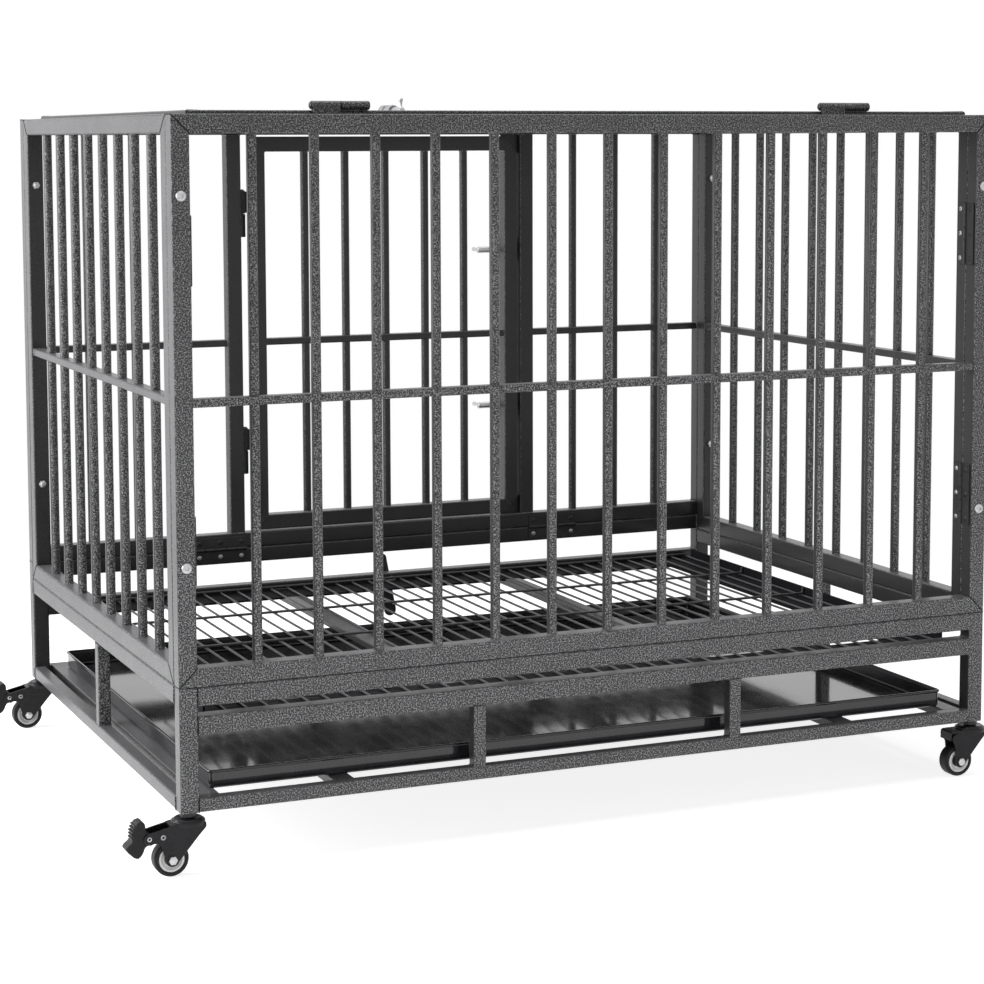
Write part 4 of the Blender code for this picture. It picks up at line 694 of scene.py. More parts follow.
def rails(shape):
    """Posts, rails and struts of square tube."""
    low_x, low_y = END_X - SMALL_TUBE / 2, FACE_Y - SMALL_TUBE / 2
    low_z = CASTER_HEIGHT + SMALL_TUBE / 2
    small = {"size": (SMALL_TUBE, SMALL_TUBE), "radius": SMALL_ROUND, "weld": TUBE_WELD}
    for x in (-POST_X, POST_X):
        tube(shape, "Z", CASTER_HEIGHT, BASE_TOP, (x, -POST_Y))
        tube(shape, "Z", CASTER_HEIGHT, BACK_BASE_TOP, (x, POST_Y))
        tube(shape, "Y", -INNER_Y, INNER_Y, (x, BASE_TOP - TUBE / 2), weld=TUBE_WELD)
    for y, top in ((-POST_Y, BASE_TOP), (POST_Y, BACK_BASE_TOP)):
        for level in (top, SECOND_RAIL_TOP):
            tube(shape, "X", -INNER_X, INNER_X, (y, level - TUBE / 2), weld=TUBE_WELD)
    for side in (-1, 1):
        tube(shape, "X", -INNER_X, INNER_X, (side * low_y, low_z), **small)
        tube(shape, "Y", -INNER_Y, INNER_Y, (side * low_x, low_z), **small)
        tube(shape, "Z", LOW_RAIL_TOP, BASE_TOP - TUBE, (side * low_x, 0.0), **small)
    for x in spread(-INNER_X, INNER_X, 2):
        tube(shape, "Z", LOW_RAIL_TOP, SECOND_RAIL_BOTTOM, (x, -low_y), **small)


def flat_bars(shape):
    """Four flat bars under the tray and two under the wire floor."""
    reach = FACE_Y - SMALL_TUBE + 0.001
    bottom = CASTER_HEIGHT + TRAY_BAR_RISE
    size = (TRAY_BAR_WIDTH, LOW_RAIL_TOP - bottom)
    for x in (INNER_X - END_BAR_WIDTH, END_X - TRAY_BAR_INSET):
        for side in (-1, 1):
            centre = (side * x, (LOW_RAIL_TOP + bottom) / 2)
            tube(shape, "Y", -reach, reach, centre, size, TRAY_BAR_ROUND)
    size = (FLOOR_BAR_WIDTH, FLOOR_BAR_HEIGHT - 0.0008)
    for x in spread(-INNER_X, INNER_X, 2):
        centre = (x, SECOND_RAIL_BOTTOM + FLOOR_BAR_HEIGHT / 2)
        tube(shape, "Y", -INNER_Y, INNER_Y, centre, size, FLOOR_BAR_ROUND, TUBE_WELD)


def ledges(shape):
    """Sheet strips under the wire floor's edges; those at the two ends stand up in a lip. Their
    near-black finish is painted shade, for the shade under the rails.
    """
    end_x, end_y = INNER_X - LEDGE_END_GAP, INNER_Y - LEDGE_END_GAP
    strip_x = end_x - 0.004
    low, lip = FLOOR_BAR_TOP - LEDGE_SHEET, FLOOR_BAR_TOP + LEDGE_LIP
    for side in (-1, 1):
        near, far = sorted((side * (INNER_Y + 0.002), side * (INNER_Y - LEDGE_WIDTH)))
        outline = [(-strip_x, far), (-strip_x, near), (strip_x, near), (strip_x, far)]
        if side > 0:
            deep = INNER_Y - LEDGE_NOTCH / 2
            outline += [(LEDGE_NOTCH, far), (LEDGE_NOTCH, deep), (-LEDGE_NOTCH, deep)]
            outline.append((-LEDGE_NOTCH, far))
        plate(shape, outline, LEVEL, low, FLOOR_BAR_TOP - 0.0001, THIN_EASE, 1)
        profile = (
            (LEDGE_WIDTH, low), (0.002, low), (0.0006, low + 0.0006), (0.0, low + 0.002),
            (0.0, lip), (LEDGE_SHEET, lip), (LEDGE_SHEET, FLOOR_BAR_TOP + 0.001),
            (LEDGE_SHEET + 0.001, FLOOR_BAR_TOP), (LEDGE_WIDTH, FLOOR_BAR_TOP),
        )
        outline = [(side * (end_x - inset), level) for inset, level in profile]
        plate(shape, outline, UPRIGHT_X, -end_y, end_y, THIN_EASE, 1)


def base_frame():
    shape = Shape()
    rails(shape)
    flat_bars(shape)
    ledges(shape)
    make(shape, "welded_base", "crate", BASE_LOOK, ["base_frame"])


# Panels

def barrel(shape, start, axis, length, radius):
    """A hinge knuckle's barrel, bored for its pin at both ends."""
    turned(shape, start, axis, (
        (0.0, radius * 0.55), (0.0, radius - 0.0006), (0.0006, radius),
        (length - 0.0006, radius), (length, radius - 0.0006), (length, radius * 0.55),
    ))


def lid_knuckle(shape, low, high, side):
    """A knuckle on the lid's axis with the lug that welds it to the rail on its own side."""
    y, z = LID_AXIS
    barrel(shape, (low, y, z), "X", high - low, LID_BARREL_RADIUS)
    foot = (PANEL_TOP if side < 0 else LID_TOP) - 0.001
    reach = side * (LID_BARREL_RADIUS + 0.0013)
    outline = (
        (y, foot), (y + reach, foot), (y + reach * 0.98, foot + 0.003),
        (y + reach * 0.75, z - 0.001), (y, z),
    )
    plate(shape, outline, UPRIGHT_Y, low + 0.0014, high - 0.0014, EASE)


def door_knuckle(shape, low, high, side):
    """A knuckle on the door's axis with the lug that welds it to the jamb or to the door."""
    x, y = DOOR_AXIS
    barrel(shape, (x, y, low), "Z", high - low, DOOR_BARREL_RADIUS)
    reach = x + side * (DOOR_HINGE_GAP / 2 + 0.002)
    front = FACE_Y - 0.0014
    outline = ((x, front - 0.004), (reach, front - 0.004), (reach, front), (x, front))
    plate(shape, outline, LEVEL, low + 0.0014, high - 0.0014, EASE)


def front_panel():
    shape = Shape()
    low, high = (-END_X, PANEL_BOTTOM), (END_X, PANEL_TOP)
    barred(shape, UPRIGHT_X, low, high, -POST_Y, 13, PANEL_MIDDLE)
    for side in (-1, 1):
        centre = side * LID_HINGE_SPREAD
        lid_knuckle(shape, centre - LID_BARREL_LENGTH / 2, centre - TOUCH, -1)
    make(shape, "front_bar_panel", "crate", PANEL_LOOK, ["front_panel"])


def side_panels():
    reach = INNER_Y - TOUCH
    for x_name, side in LEFT_RIGHT:
        shape = Shape()
        low, high = (-reach, PANEL_BOTTOM), (reach, PANEL_TOP)
        barred(shape, UPRIGHT_Y, low, high, side * POST_X, 8, PANEL_MIDDLE)
        make(shape, f"{x_name}_bar_panel", "crate", PANEL_LOOK, [f"{x_name}_side_panel"])


def back_panel():
    """The panel with the doorway: jambs, bars on both sides, gussets, hinges and lid ledges."""
    shape = Shape()
    rail_top, rail_under = BACK_PANEL_BOTTOM + TUBE, PANEL_TOP - TUBE
    mitred_frame(shape, UPRIGHT_X, (-END_X, BACK_PANEL_BOTTOM), (END_X, PANEL_TOP), POST_Y)
    for x in (OPENING_LEFT - TUBE / 2, OPENING_RIGHT + TUBE / 2):
        tube(shape, "Z", rail_top, rail_under, (x, POST_Y), weld=TUBE_WELD)
    for start, end in ((-INNER_X, OPENING_LEFT - TUBE), (OPENING_RIGHT + TUBE, INNER_X)):
        for place in spread(start, end, 3):
            bar(shape, UPRIGHT_X, place, rail_top, rail_under, POST_Y)
        mid_bar(shape, UPRIGHT_X, start, end, PANEL_MIDDLE, POST_Y)
    leg = DOOR_CORNER_CUT + DOOR_LATCH_GAP + DOOR_END_GAP - 0.002 * math.sqrt(2)
    outer, inner = OPENING_RIGHT + 0.002, OPENING_RIGHT - leg
    for level, out in ((rail_top, -1), (rail_under, 1)):
        sunk, tip = level + out * 0.002, level - out * leg
        outline = (
            (outer, sunk), (inner, sunk), (inner, level), (OPENING_RIGHT, tip), (outer, tip),
        )
        plate(shape, outline, UPRIGHT_X, POST_Y - 0.0015, POST_Y + 0.0015, THIN_EASE)
    for level in DOOR_HINGE_HEIGHTS:
        door_knuckle(shape, level - DOOR_BARREL_LENGTH / 2, level - TOUCH, -1)
    top = LID_TOP - TUBE - TOUCH
    for side in (-1, 1):
        left, right = side * LID_LEDGE_SPREAD - 0.020, side * LID_LEDGE_SPREAD + 0.020
        outline = rounded_outline((left, INNER_Y - 0.014), (right, INNER_Y + 0.004), 0.003)
        plate(shape, outline, LEVEL, top - 0.003, top, EASE)
    make(shape, "back_bar_panel", "crate", PANEL_LOOK, ["back_panel"])


def back_door():
    shape = Shape()
    mitred_frame(shape, UPRIGHT_X, (DOOR_LEFT, DOOR_BOTTOM), (DOOR_RIGHT, DOOR_TOP), POST_Y)
    for level, out in ((DOOR_BOTTOM, -1), (DOOR_TOP, 1)):
        corner = Vector((DOOR_RIGHT - DOOR_CORNER_CUT, POST_Y, level))
        shape.trim(corner, Vector((1, 0, out)).normalized())
    left, right = DOOR_LEFT + TUBE, DOOR_RIGHT - TUBE
    for place in spread(left, right, 5):
        bar(shape, UPRIGHT_X, place, DOOR_BOTTOM + TUBE, DOOR_TOP - TUBE, POST_Y)
    mid_bar(shape, UPRIGHT_X, left, right, PANEL_MIDDLE, POST_Y)
    for level in DOOR_HINGE_HEIGHTS:
        door_knuckle(shape, level + TOUCH, level + DOOR_BARREL_LENGTH / 2, 1)
    make(shape, "barred_door", "door", PANEL_LOOK, ["back_door"])


def lid():
    shape = Shape()
    x, y = INNER_X - LID_GAP, INNER_Y - LID_GAP
    barred(shape, LEVEL, (-x, -y), (x, y), LID_TOP - TUBE / 2, 13, 0.0)
    for side in (-1, 1):
        centre = side * LID_HINGE_SPREAD
        lid_knuckle(shape, centre + TOUCH, centre + LID_BARREL_LENGTH / 2, 1)
    make(shape, "barred_lid", "top_lid", PANEL_LOOK, ["lid"])


# Floor and tray

def floor_grid():
    """Floor wires with five carrier wires welded over them; the inner carriers' ends turn up."""
    shape = Shape()
    reach_x = INNER_X - LEDGE_END_GAP - LEDGE_SHEET - TOUCH
    reach_y = INNER_Y - 0.004
    wire, carrier = FLOOR_WIRE / 2, CARRIER_WIRE / 2
    wire_z = FLOOR_BAR_TOP + TOUCH + wire
    carrier_z = wire_z + wire + carrier - 0.0003
    end_z = wire_z + wire + 2 * carrier + 0.006
    bend = (-reach_x + carrier + CARRIER_BEND, carrier_z + CARRIER_BEND)
    levels = [-reach_y + carrier, *spread(-reach_y, reach_y, 3), reach_y - carrier]
    for y in levels:
        half = [(-reach_x, y, carrier_z)]
        if y not in (levels[0], levels[-1]):
            half = [(-reach_x + carrier, y, end_z)]
            half += [(x, y, z) for x, z in arc(bend, CARRIER_BEND, 180, 270, 6)]
        path = half + [(-x, y, z) for x, y, z in reversed(half)]
        sweep(shape, path, carrier, AXES["Y"], 12)
    inner_ends = reach_x - FLOOR_WIRE
    count = round(2 * inner_ends / WIRE_SPACING)
    for k in range(count + 1):
        x = -inner_ends + 2 * inner_ends * k / count
        sweep(shape, [(x, -reach_y, wire_z), (x, reach_y, wire_z)], wire, AXES["X"], 10)
        for y in levels:
            turned(shape, (x, y, wire_z + 0.0006), "Z", (
                (0.0, 0.0016), (0.0008, 0.0022), (0.0016, 0.0021), (0.0022, 0.0015),
            ), 8)
    make(shape, "welded_wire_floor", "crate", WIRE_LOOK, ["floor_grid"])


def tray():
    """A pressed pan: rounded floor edge, upright walls and a rolled rim."""
    shape = Shape()
    roll, bend, sheet, wall = 0.00175, 0.003, 0.0015, 0.002
    rim_z = TRAY_TOP - roll
    inside = wall + sheet
    profile = [
        *arc((wall + bend, TRAY_BOTTOM + bend), bend, 270, 180, 4), (wall, rim_z - 0.0022),
        *arc((roll, rim_z), roll, 250, -40, 10), (inside, rim_z - 0.0022),
        *arc((inside + bend, TRAY_BOTTOM + sheet + bend), bend, 180, 270, 4),
    ]
    rings = []
    for inset, z in profile:
        x, y = TRAY_HALF_X - inset, TRAY_HALF_Y - inset
        outline = rounded_outline((-x, -y), (x, y), 0.0072 - min(inset, 0.006), 4)
        rings.append([Vector((u, w, z)) for u, w in outline])
    shape.loft(rings)
    make(shape, "pressed_tray", "floor_tray", TRAY_LOOK, ["tray"])


# Bolts, hinges and pins

def strap(length, half_height, axis_height):
    """A half-round strap on a riveted plate, along X on the plane Y = 0."""
    shape = Shape()
    thick, foot, rivet_inset = 0.0020, 0.0012, 0.0042
    base = rounded_outline((-length / 2, -half_height), (length / 2, half_height), 0.003)
    plate(shape, base, UPRIGHT_X, 0.0, thick, EASE)
    over = arc((axis_height, 0.0), 0.0084, -90, 90, 12)
    under = arc((axis_height, 0.0), 0.0057, 90, -90, 12)
    outline = []
    for side in (over, under):
        outline += [(foot, side[0][1]), *side, (foot, side[-1][1])]
    plate(shape, outline, UPRIGHT_Y, -length / 2 + 0.001, length / 2 - 0.001, EASE)
    for side_x in (-1, 1):
        for side_z in (-1, 1):
            x, z = side_x * (length / 2 - rivet_inset), side_z * (half_height - rivet_inset)
            shape.merge(screw(0.0021, 0.0011), facing((0, 1, 0), (x, thick, z)))
    return shape


def slide_bolt(tip, knob_at, knob_length):
    """A round bolt along X with a flared knob that stands out along Y."""
    shape = Shape()
    radius = BOLT_RADIUS
    tail = knob_at - 0.005
    length = tip - tail
    turned(shape, (tail, 0, 0), "X", (
        (0.0, radius - 0.0014), (0.0004, radius - 0.0006), (0.0012, radius),
        (length - 0.0016, radius), (length - 0.0006, radius - 0.0008), (length, radius - 0.0020),
    ), 28)
    top = radius + knob_length
    turned(shape, (knob_at, 0, 0), "Y", (
        (0.0, 0.0024), (radius + 0.0006, 0.0024), (radius + 0.0014, 0.0021),
        (radius + 0.35 * knob_length, 0.0021), (radius + 0.62 * knob_length, 0.0026),
        (top - 0.0026, KNOB_RADIUS), (top - 0.0010, KNOB_RADIUS), (top - 0.0002, 0.0026),
        (top, 0.0016),
    ))
    return shape


def butt_hinge():
    """An open butt hinge along Z on the plane Y = 0; the leaf at X above 0 has bright screws."""
    shape = Shape()
    for side in (-1, 1):
        near, far = sorted((side * 0.0012, side * BUTT_HALF_WIDTH))
        leaf = rounded_outline((near, -BUTT_HALF_LENGTH), (far, BUTT_HALF_LENGTH), 0.0022)
        plate(shape, leaf, UPRIGHT_X, 0.0, BUTT_LEAF, THIN_EASE)
        for z in (-0.032, 0.0, 0.032):
            place = facing((0, 1, 0), (side * 0.0105, BUTT_LEAF, z))
            shape.merge(screw(0.0034, 0.0010, 20, int(side > 0)), place)
    knuckle = (2 * BUTT_HALF_LENGTH - 0.0002) / 5
    for k in range(5):
        low = -BUTT_HALF_LENGTH + 0.0001 + knuckle * k + 0.0002
        length = knuckle - 0.0004
        turned(shape, (0, BUTT_LEAF, low), "Z", (
            (0.0, 0.0020), (0.0003, 0.0026), (length - 0.0003, 0.0026), (length, 0.0020),
        ), 20)
    return shape


def corner_bolt():
    """A domed bolt along Y: its head outside at Y below 0, its nut behind the second tube."""
    nut = 2 * TUBE + TOUCH
    return spun("Y", (
        (-0.0017, 0.0019, 6), (-0.0031, 0.0021, 6), (-0.0031, 0.0030), (-0.0029, 0.0041),
        (-0.0023, 0.0053), (-0.0014, 0.0061), (-TOUCH, 0.0063), (-TOUCH, 0.0030),
        (nut + TOUCH, 0.0030), (nut + TOUCH, 0.0045, 6), (nut + 0.0038, 0.0045, 6),
        (nut + 0.0043, 0.0040), (nut + 0.0043, 0.0028), (nut + 0.0050, 0.0022),
    ))


def headed_pin(length):
    """A hinge pin along Z whose domed head lies below Z = 0."""
    return spun("Z", (
        (-0.0018, 0.0018), (-0.0017, 0.0030), (-0.0011, 0.0038), (-TOUCH, 0.0040),
        (-TOUCH, 0.0024), (length, 0.0024),
    ), 20)


def corner_bolts():
    for y_name, y_side in FRONT_BACK:
        turn = rotated(180, "Z") if y_side > 0 else Matrix()
        for x_name, x_side in LEFT_RIGHT:
            for z_name, level in zip(LOWER_UPPER, CORNER_BOLT_HEIGHTS):
                name = f"{y_name}_{x_name}_{z_name}"
                place = at(x_side * POST_X, y_side * FACE_Y, level, turn)
                nodes = [f"corner_bolt_{name}"]
                make(corner_bolt(), f"panel_bolt_{name}", "crate", BOLT_LOOK, nodes, place)


def butt_hinges():
    for x_name, side in LEFT_RIGHT:
        for z_name, level in zip(LOWER_UPPER, FOLD_HINGE_HEIGHTS):
            name = f"{x_name}_{z_name}"
            place = at(side * (INNER_X - TOUCH), -INNER_Y, level, rotated(90 * side, "Z"))
            nodes = [f"fold_hinge_{name}"]
            make(butt_hinge(), f"seam_hinge_{name}", "crate", HINGE_LOOK, nodes, place)
        turn = rotated(180, "Z") @ rotated(90, "Y")
        place = at(side * BASE_HINGE_SPREAD, INNER_Y - TOUCH, BACK_BASE_TOP, turn)
        nodes = [f"base_hinge_{x_name}"]
        make(butt_hinge(), f"bottom_hinge_{x_name}", "crate", HINGE_LOOK, nodes, place)


def latch(guide_length, keeper_rise, gap, throw, knob_length, pieces):
    """A guide, a keeper and a drawn bolt; gap is the keeper's distance from the guide.

    pieces gives the name, body, node and place of each of the three.
    """
    knob_at = -guide_length / 2 - KNOB_RADIUS - throw - TOUCH
    shapes = (
        (strap(guide_length, GUIDE_HALF_HEIGHT, BOLT_AXIS_HEIGHT), STRAP_LOOK),
        (strap(KEEPER_LENGTH, KEEPER_HALF_HEIGHT, BOLT_AXIS_HEIGHT + keeper_rise), STRAP_LOOK),
        (slide_bolt(gap - KEEPER_LENGTH / 2 - TOUCH, knob_at, knob_length), BOLT_LOOK),
    )
    for (shape, look), (name, body, node_name, place) in zip(shapes, pieces):
        make(shape, name, body, look, [node_name], place)


def door_fittings():
    axis_x, axis_y = DOOR_AXIS
    for z_name, level in zip(LOWER_UPPER, DOOR_HINGE_HEIGHTS):
        place = facing((0, 0, -1), (axis_x, axis_y, level + DOOR_BARREL_LENGTH / 2))
        pin, nodes = headed_pin(DOOR_BARREL_LENGTH), [f"door_hinge_pin_{z_name}"]
        make(pin, f"door_pin_{z_name}", "crate", PIN_LOOK, nodes, place)
    guide_x, keeper_x, face = DOOR_RIGHT - TUBE / 2, OPENING_RIGHT + TUBE / 2, FACE_Y + TOUCH
    for z_name, level in zip(LOWER_UPPER, DOOR_BOLT_HEIGHTS):
        guide, keeper = at(guide_x, face, level), at(keeper_x, face, level)
        rod = at(guide_x, face + BOLT_AXIS_HEIGHT, level)
        latch(DOOR_GUIDE_LENGTH, 0.0, keeper_x - guide_x, BOLT_THROW, DOOR_KNOB_LENGTH, (
            (f"latch_strap_{z_name}", "door", f"door_latch_{z_name}", guide),
            (f"keeper_strap_{z_name}", "crate", f"door_keeper_{z_name}", keeper),
            (f"latch_rod_{z_name}", f"{z_name}_door_bolt", f"door_bolt_{z_name}", rod),
        ))


def lid_fittings():
    for x_name, side in LEFT_RIGHT:
        head_x = side * LID_HINGE_SPREAD - LID_BARREL_LENGTH / 2
        pin, nodes = headed_pin(LID_BARREL_LENGTH), [f"lid_hinge_pin_{x_name}"]
        place = facing((1, 0, 0), (head_x, *LID_AXIS))
        make(pin, f"lid_pin_{x_name}", "crate", PIN_LOOK, nodes, place)
    flat = rotated(90, "Z") @ rotated(90, "X")
    guide_y, keeper_y, face = INNER_Y - LID_GAP - TUBE / 2, INNER_Y + TUBE / 2, LID_TOP + TOUCH
    keeper = at(0, keeper_y, PANEL_TOP + TOUCH, flat)
    rod = at(0, guide_y, face + BOLT_AXIS_HEIGHT, flat)
    latch(LID_GUIDE_LENGTH, LID_PROUD, keeper_y - guide_y, LID_BOLT_THROW, LID_KNOB_LENGTH, (
        ("lid_strap", "top_lid", "lid_latch", at(0, guide_y, face, flat)),
        ("lid_keeper_strap", "crate", "lid_keeper", keeper),
        ("lid_rod", "top_lid_bolt", "lid_bolt", rod),
    ))


def tray_lock():
    """The tapered lever with rounded ends on its pivot, and the pivot's two heads."""
    rail_middle = SECOND_RAIL_TOP - TUBE / 2
    below = rail_middle - (TRAY_TOP + 0.0022)
    above = LEVER_LENGTH - below
    tip, foot = 0.0055, 0.0095
    outline = arc((0, above - tip), tip, 0, 180, 12) + arc((0, foot - below), foot, 180, 360, 12)
    shape = Shape()
    plate(shape, outline, UPRIGHT_X, 0.0, LEVER_SHEET, 0.0009)
    place = at(0, FACE_Y + TOUCH, rail_middle, rotated(LEVER_LEAN, "Y"))
    make(shape, "lock_arm", "lock_lever", LEVER_LOOK, ["tray_lock_lever"], place)
    pivot = Shape()
    tail, head = -TUBE - TOUCH, LEVER_SHEET + 2 * TOUCH
    turned(pivot, (0, FACE_Y, rail_middle), "Y", (
        (tail - 0.0025, 0.0045), (tail - 0.0021, 0.0060), (tail, 0.0065), (tail, 0.0030),
        (head, 0.0030), (head, 0.0063), (head + 0.0010, 0.0065), (head + 0.0018, 0.0056),
        (head + 0.0025, 0.0036),
    ), 28)
    make(pivot, "lock_rivet", "crate", STRAP_LOOK, ["tray_lock_pivot"])


# Casters

def hollow_rivet():
    """A bright ring about a dark centre, standing on the plane Z = 0; the centre's shallow recess
    takes the dark finish as painted shade for the rivet's hole.
    """
    # Painted shade: the recess's wall and floor take finish 0, the dark one
    return spun("Z", (
        (-0.0004, 0.0022), (-0.0004, 0.0030), (0.0006, 0.0031), (0.0012, 0.0026),
        (0.0012, 0.0017), (0.0004, 0.0013), (0.0003, 0.0004),
    ), 20, [1, 1, 1, 1, 1, 0])


def fork(braked):
    """Two stamped side plates under a domed top plate and a dished race, about the swivel axis."""
    shape = Shape()
    top, low, lip = FORK_TOP, FORK_LIP_LOW, FORK_LIP_REACH
    front = FORK_HEAD_RADIUS * 0.9
    x, z = BRAKE_PIVOT
    outline = [
        (front - 0.001, top - 0.0006), (front, top - 0.003), (front, top - 0.007),
        (front - 0.008, top - 0.015), *arc((-CASTER_TRAIL, WHEEL_RADIUS), 0.0080, -20, -180, 8),
    ]
    crown = [(front - 0.001, top - 0.0045), (front, top - 0.0020), (front - 0.0020, top)]
    if braked:
        outline += [(-CASTER_TRAIL - 0.0125, 0.0370), (x + 0.0120, z - 0.0060)]
        outline += [(x - 0.0020, z - 0.0062), (x - 0.0060, z - 0.0030), (x - 0.0066, z + 0.0010)]
        outline += [(x - 0.0045, z + 0.0050), (x + 0.0090, z + 0.0083)]
        crown += [(-0.0150, top), (-0.0240, top - 0.0018), (-0.0240, top - 0.0045)]
    else:
        outline += [(-CASTER_TRAIL - 0.0080, 0.0420), (-0.0335, low), (-0.0345, top - 0.0060)]
        crown += [(-0.0345, top - 0.0004), (-0.0372, top - 0.0016), (lip, top - 0.0042)]
        crown += [(lip, low + 0.0004), (-0.0360, low + 0.0004), (-0.0358, top - 0.0038)]
    outline.append((-FORK_HEAD_RADIUS * 0.75, top - 0.0006))
    for inside, outside in ((-FORK_OUTSIDE, -FORK_INSIDE), (FORK_INSIDE, FORK_OUTSIDE)):
        plate(shape, softened(outline), UPRIGHT_X, inside, outside, 0.0005)
    plate(shape, crown, UPRIGHT_X, -FORK_OUTSIDE + 0.0002, FORK_OUTSIDE - 0.0002, 0.0006)
    turned(shape, (0, 0, 0), "Z", (
        (top - 0.0038, 0.0120), (top - 0.0038, 0.0192), (top - 0.0024, 0.0199),
        (top + 0.0004, 0.0199), (top + 0.0014, 0.0192), (top + 0.0016, 0.0180),
        (top + 0.0028, 0.0170), (RACE_TOP - 0.0010, 0.0168), (RACE_TOP - 0.0002, 0.0156),
        (RACE_TOP, 0.0136), (RACE_TOP - 0.0008, 0.0112),
    ), 44)
    if braked:
        for side in (-1, 1):
            place = facing((0, side, 0), (x + 0.0160, side * FORK_OUTSIDE, z + 0.0005))
            shape.merge(hollow_rivet(), place)
    return shape


def stem():
    """The stem: a short round collar under the post, its shank and its rivet inside the fork."""
    rivet, race, post = FORK_TOP - 0.0043, RACE_TOP + TOUCH, CASTER_HEIGHT - TOUCH
    return spun("Z", (
        (rivet - 0.0021, 0.0052), (rivet - 0.0009, 0.0070), (rivet, 0.0078), (rivet, 0.0050),
        (race, 0.0050), (race, 0.0086), (race + 0.0007, 0.0092), (post - 0.0009, 0.0092),
        (post, 0.0086), (post, 0.0050), (CASTER_HEIGHT + 0.026, 0.0050),
    ))


def axle():
    """The axle with a nut at both ends and its shank's ends beyond them."""
    end = FORK_OUTSIDE + TOUCH
    nut = [(end + 0.0032, 0.0030), (end + 0.0032, 0.0038), (end + 0.0027, 0.0045, 6)]
    nut += [(end, 0.0045, 6), (end, 0.0030)]
    near = [(-distance, *rest) for distance, *rest in nut]
    return spun("Y", (
        (-end - 0.0040, 0.0020), (-end - 0.0036, 0.0028), *near, *reversed(nut),
        (end + 0.0038, 0.0028), (end + 0.0042, 0.0020),
    ))


def wheel():
    """The wheel's core: a dark hub in a dished white web whose rim carries the tread."""
    rim = WHEEL_RADIUS - TREAD - TOUCH
    hub, edge, web = HUB_WIDTH / 2, 0.00825, 0.0045
    side = (
        (hub, 0.0036), (hub, 0.0058), (hub - 0.0006, 0.0064), (web + 0.0022, 0.0074),
        (web, 0.0080), (web, 0.0102), (edge - 0.0010, 0.0122), (edge, 0.0128),
        (edge, rim - 0.0004), (edge - 0.0004, rim),
    )
    profile = [(-distance, radius) for distance, radius in side] + list(reversed(side))
    return spun("Y", profile, 48, [1] * 4 + [0] * 11 + [1] * 5, True)


def tyre():
    """The tread ring with a rounded shoulder."""
    inner, half, shoulder = WHEEL_RADIUS - TREAD, 0.009, 0.0030
    profile = [(-half + 0.0008, inner), (-half, inner + 0.0008)]
    profile += arc((-half + shoulder, WHEEL_RADIUS - shoulder), shoulder, 180, 90, 6)
    profile += [(-distance, radius) for distance, radius in reversed(profile)]
    return spun("Y", profile, 60, loop=True)


def pedal():
    """The toe pedal about its pivot: a toothed upper paddle, a lower lobe and a cam."""
    shape = Shape()
    half = FORK_INSIDE - 0.0004
    outline = [
        (0.0040, 0.0040), (0.0080, -0.0050), (0.0035, -0.0085), (-0.0010, -0.0078),
        (-0.0045, -0.0100), (-0.0078, -0.0190), (-0.0145, -0.0232), (-0.0268, -0.0115),
        (-0.0262, -0.0078), (-0.0180, -0.0015), (-0.0172, 0.0105), (-0.0140, 0.0188),
        (-0.0110, 0.0201), (-0.0070, 0.0212), (-0.0035, 0.0165), (-0.0040, 0.0080),
    ]
    plate(shape, softened(outline), UPRIGHT_X, -half, half, 0.0012)
    section = rounded_section(0.0028, 0.0022, 0.0010)
    ends = (-half + 0.0006, half - 0.0006)
    for u, w in (
        (-0.0184, 0.0012), (-0.0182, 0.0050), (-0.0179, 0.0088), (-0.0168, 0.0124),
        (-0.0152, 0.0158),
    ):
        shape.loft([[Vector((u + p[0], y, w + p[1])) for p, _ in section] for y in ends])
    end = FORK_OUTSIDE + 0.0008
    turned(shape, (0, 0, 0), "Y", (
        (-end + 0.0006, 0.0008), (-end + 0.0006, 0.0013), (-end, 0.0017), (-end + 0.0004, 0.0027),
        (end - 0.0004, 0.0027), (end, 0.0017), (end - 0.0006, 0.0013), (end - 0.0006, 0.0008),
    ), 20, bands=[0, 1, 1, 1, 1, 1, 0])
    return shape


def caster(corner, x, y, braked):
    swivel, rolling = f"{corner}_caster", f"{corner}_wheel"
    under, hub = at(x, y, 0), at(x - CASTER_TRAIL, y, WHEEL_RADIUS)
    pieces = [
        ("swivel_stem", stem(), "crate", PIN_LOOK, "caster_stem", under),
        ("stamped_fork", fork(braked), swivel, FORK_LOOK, "caster_fork", under),
        ("axle_bolt", axle(), swivel, BOLT_LOOK, "caster_axle", hub),
        ("wheel_core", wheel(), rolling, WHEEL_LOOK, "caster_wheel", hub),
        ("tread", tyre(), rolling, TREAD_LOOK, "caster_tyre", hub),
    ]
    if braked:
        toe = at(x + BRAKE_PIVOT[0], y, BRAKE_PIVOT[1])
        brake = f"{corner}_brake"
        pieces.append(("toe_pedal", pedal(), brake, PEDAL_LOOK, "brake_pedal", toe))
    for name, shape, body, look, node_name, place in pieces:
        make(shape, f"{name}_{corner}", body, look, [f"{node_name}_{corner}"], place)


def casters():
    for y_name, y_side in FRONT_BACK:
        for x_name, x_side in LEFT_RIGHT:
            caster(f"{y_name}_{x_name}", x_side * POST_X, y_side * POST_Y, x_side < 0)


# Floor, light and camera

def seen_or_mirrored(tree):
    """One for rays from the camera, from mirrors and through glass, and nought for the rest."""
    path = node(tree, "LightPath")
    result = path.outputs["Is Camera Ray"]
    for kind in ("Is Glossy Ray", "Is Transmission Ray"):
        either = node(tree, "Math", {0: result, 1: path.outputs[kind]}, operation="MAXIMUM")
        result = either.outputs[0]
    return result


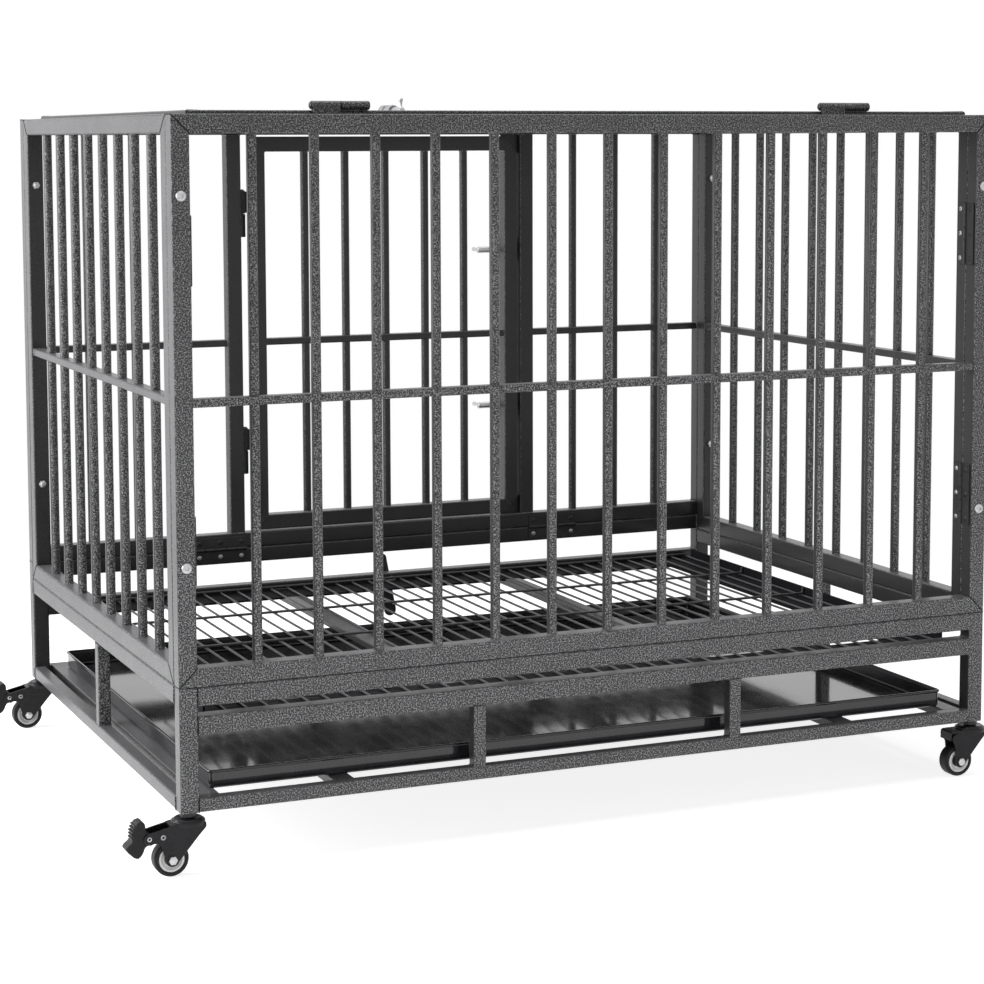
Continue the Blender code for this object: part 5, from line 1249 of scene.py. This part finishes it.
def background():
    """White to the camera and in mirrors; a weaker white for the light that it gives."""
    world = bpy.data.worlds.new("studio")
    bpy.context.scene.world = world
    world.use_nodes = True
    tree = world.node_tree
    tree.nodes.clear()
    sockets = {0: seen_or_mirrored(tree)}
    for place, strength in ((1, 0.10), (2, 1.0)):
        light = node(tree, "Background", {"Color": (1, 1, 1, 1), "Strength": strength})
        sockets[place] = light.outputs[0]
    mix = node(tree, "MixShader", sockets)
    node(tree, "OutputWorld", {"Surface": mix.outputs[0]})


def studio_floor():
    """A pale floor that takes the shadow near the crate and runs out to the white background."""
    reach = 30
    mesh = bpy.data.meshes.new("studio_floor")
    corners = [(-reach, -reach, 0), (reach, -reach, 0), (reach, reach, 0), (-reach, reach, 0)]
    mesh.from_pydata(corners, [], [(0, 1, 2, 3)])
    floor = bpy.data.objects.new("studio_floor", mesh)
    bpy.context.scene.collection.objects.link(floor)
    floor.location.z = -0.0005
    pale = Finish("studio_floor", {"Roughness": 0.9, "Specular IOR Level": 0.0})
    pale.feed("Base Color", pale.ramp(pale.noise(3.0, 2.0), (0.0, 0.80), (1.0, 0.82)))
    surface = pale.shader.outputs[0]
    lift = pale.node("Emission", {"Strength": 0.80})
    near = pale.node("AddShader", {0: surface, 1: lift.outputs[0]})
    white = pale.node("Emission")
    distance = pale.node("VectorMath", {0: pale.place}, operation="LENGTH").outputs["Value"]
    span = {"Value": distance, "From Min": 0.75, "From Max": 1.7}
    far = pale.node("MapRange", span, interpolation_type="SMOOTHSTEP").outputs["Result"]
    fade = pale.node("MixShader", {0: far, 1: near.outputs[0], 2: white.outputs[0]})
    seen = seen_or_mirrored(pale.tree)
    choose = pale.node("MixShader", {0: seen, 1: surface, 2: fade.outputs[0]})
    end = pale.tree.nodes["Material Output"]
    pale.tree.links.new(choose.outputs[0], end.inputs["Surface"])
    mesh.materials.append(pale.material)


def softbox(name, place, target, width, height, power, mirrored=True):
    """A rectangular lamp that the camera doesn't see."""
    data = bpy.data.lights.new(name, "AREA")
    data.shape = "RECTANGLE"
    data.size = width
    data.size_y = height
    data.energy = power
    item = bpy.data.objects.new(name, data)
    bpy.context.scene.collection.objects.link(item)
    item.visible_camera = False
    item.visible_glossy = mirrored
    item.location = Vector(place)
    item.rotation_mode = "QUATERNION"
    item.rotation_quaternion = (Vector(target) - Vector(place)).to_track_quat("-Z", "Y")


def lights():
    softbox("top_softbox", (0.0, 0.2, 3.2), (0.0, 0.0, 0.4), 3.4, 3.0, 42.0)
    softbox("left_softbox", (-3.0, 0.6, 1.2), (0.0, 0.0, 0.5), 2.6, 2.0, 120.0)
    softbox("front_softbox", (0.05, -1.45, 0.16), (0.0, -0.39, 0.30), 2.6, 0.4, 9.5, False)


def camera():
    """The photograph's camera: where it stood, how it was turned, and its slight upward shift."""
    ahead = Vector((math.sin(CAMERA_YAW), math.cos(CAMERA_YAW), 0.0))
    forward = ahead * math.cos(CAMERA_PITCH) - AXES["Z"] * math.sin(CAMERA_PITCH)
    right = Vector((math.cos(CAMERA_YAW), -math.sin(CAMERA_YAW), 0.0))
    up = right.cross(forward)
    cosine, sine = math.cos(CAMERA_ROLL), math.sin(CAMERA_ROLL)
    turn = Matrix((right * cosine + up * sine, up * cosine - right * sine, -forward)).transposed()
    data = bpy.data.cameras.new("camera")
    data.sensor_width = 36.0
    data.lens = CAMERA_LENS
    data.shift_y = CAMERA_SHIFT
    data.clip_start = 0.05
    data.clip_end = 100.0
    item = bpy.data.objects.new("camera", data)
    bpy.context.scene.collection.objects.link(item)
    item.matrix_world = Matrix.Translation(Vector(CAMERA_PLACE) + SHIFT) @ turn.to_4x4()
    bpy.context.scene.camera = item


def main():
    base_frame()
    front_panel()
    side_panels()
    back_panel()
    back_door()
    lid()
    floor_grid()
    tray()
    corner_bolts()
    butt_hinges()
    door_fittings()
    lid_fittings()
    tray_lock()
    casters()
    background()
    studio_floor()
    lights()
    camera()
    bpy.context.scene.view_settings.view_transform = "Standard"


main()
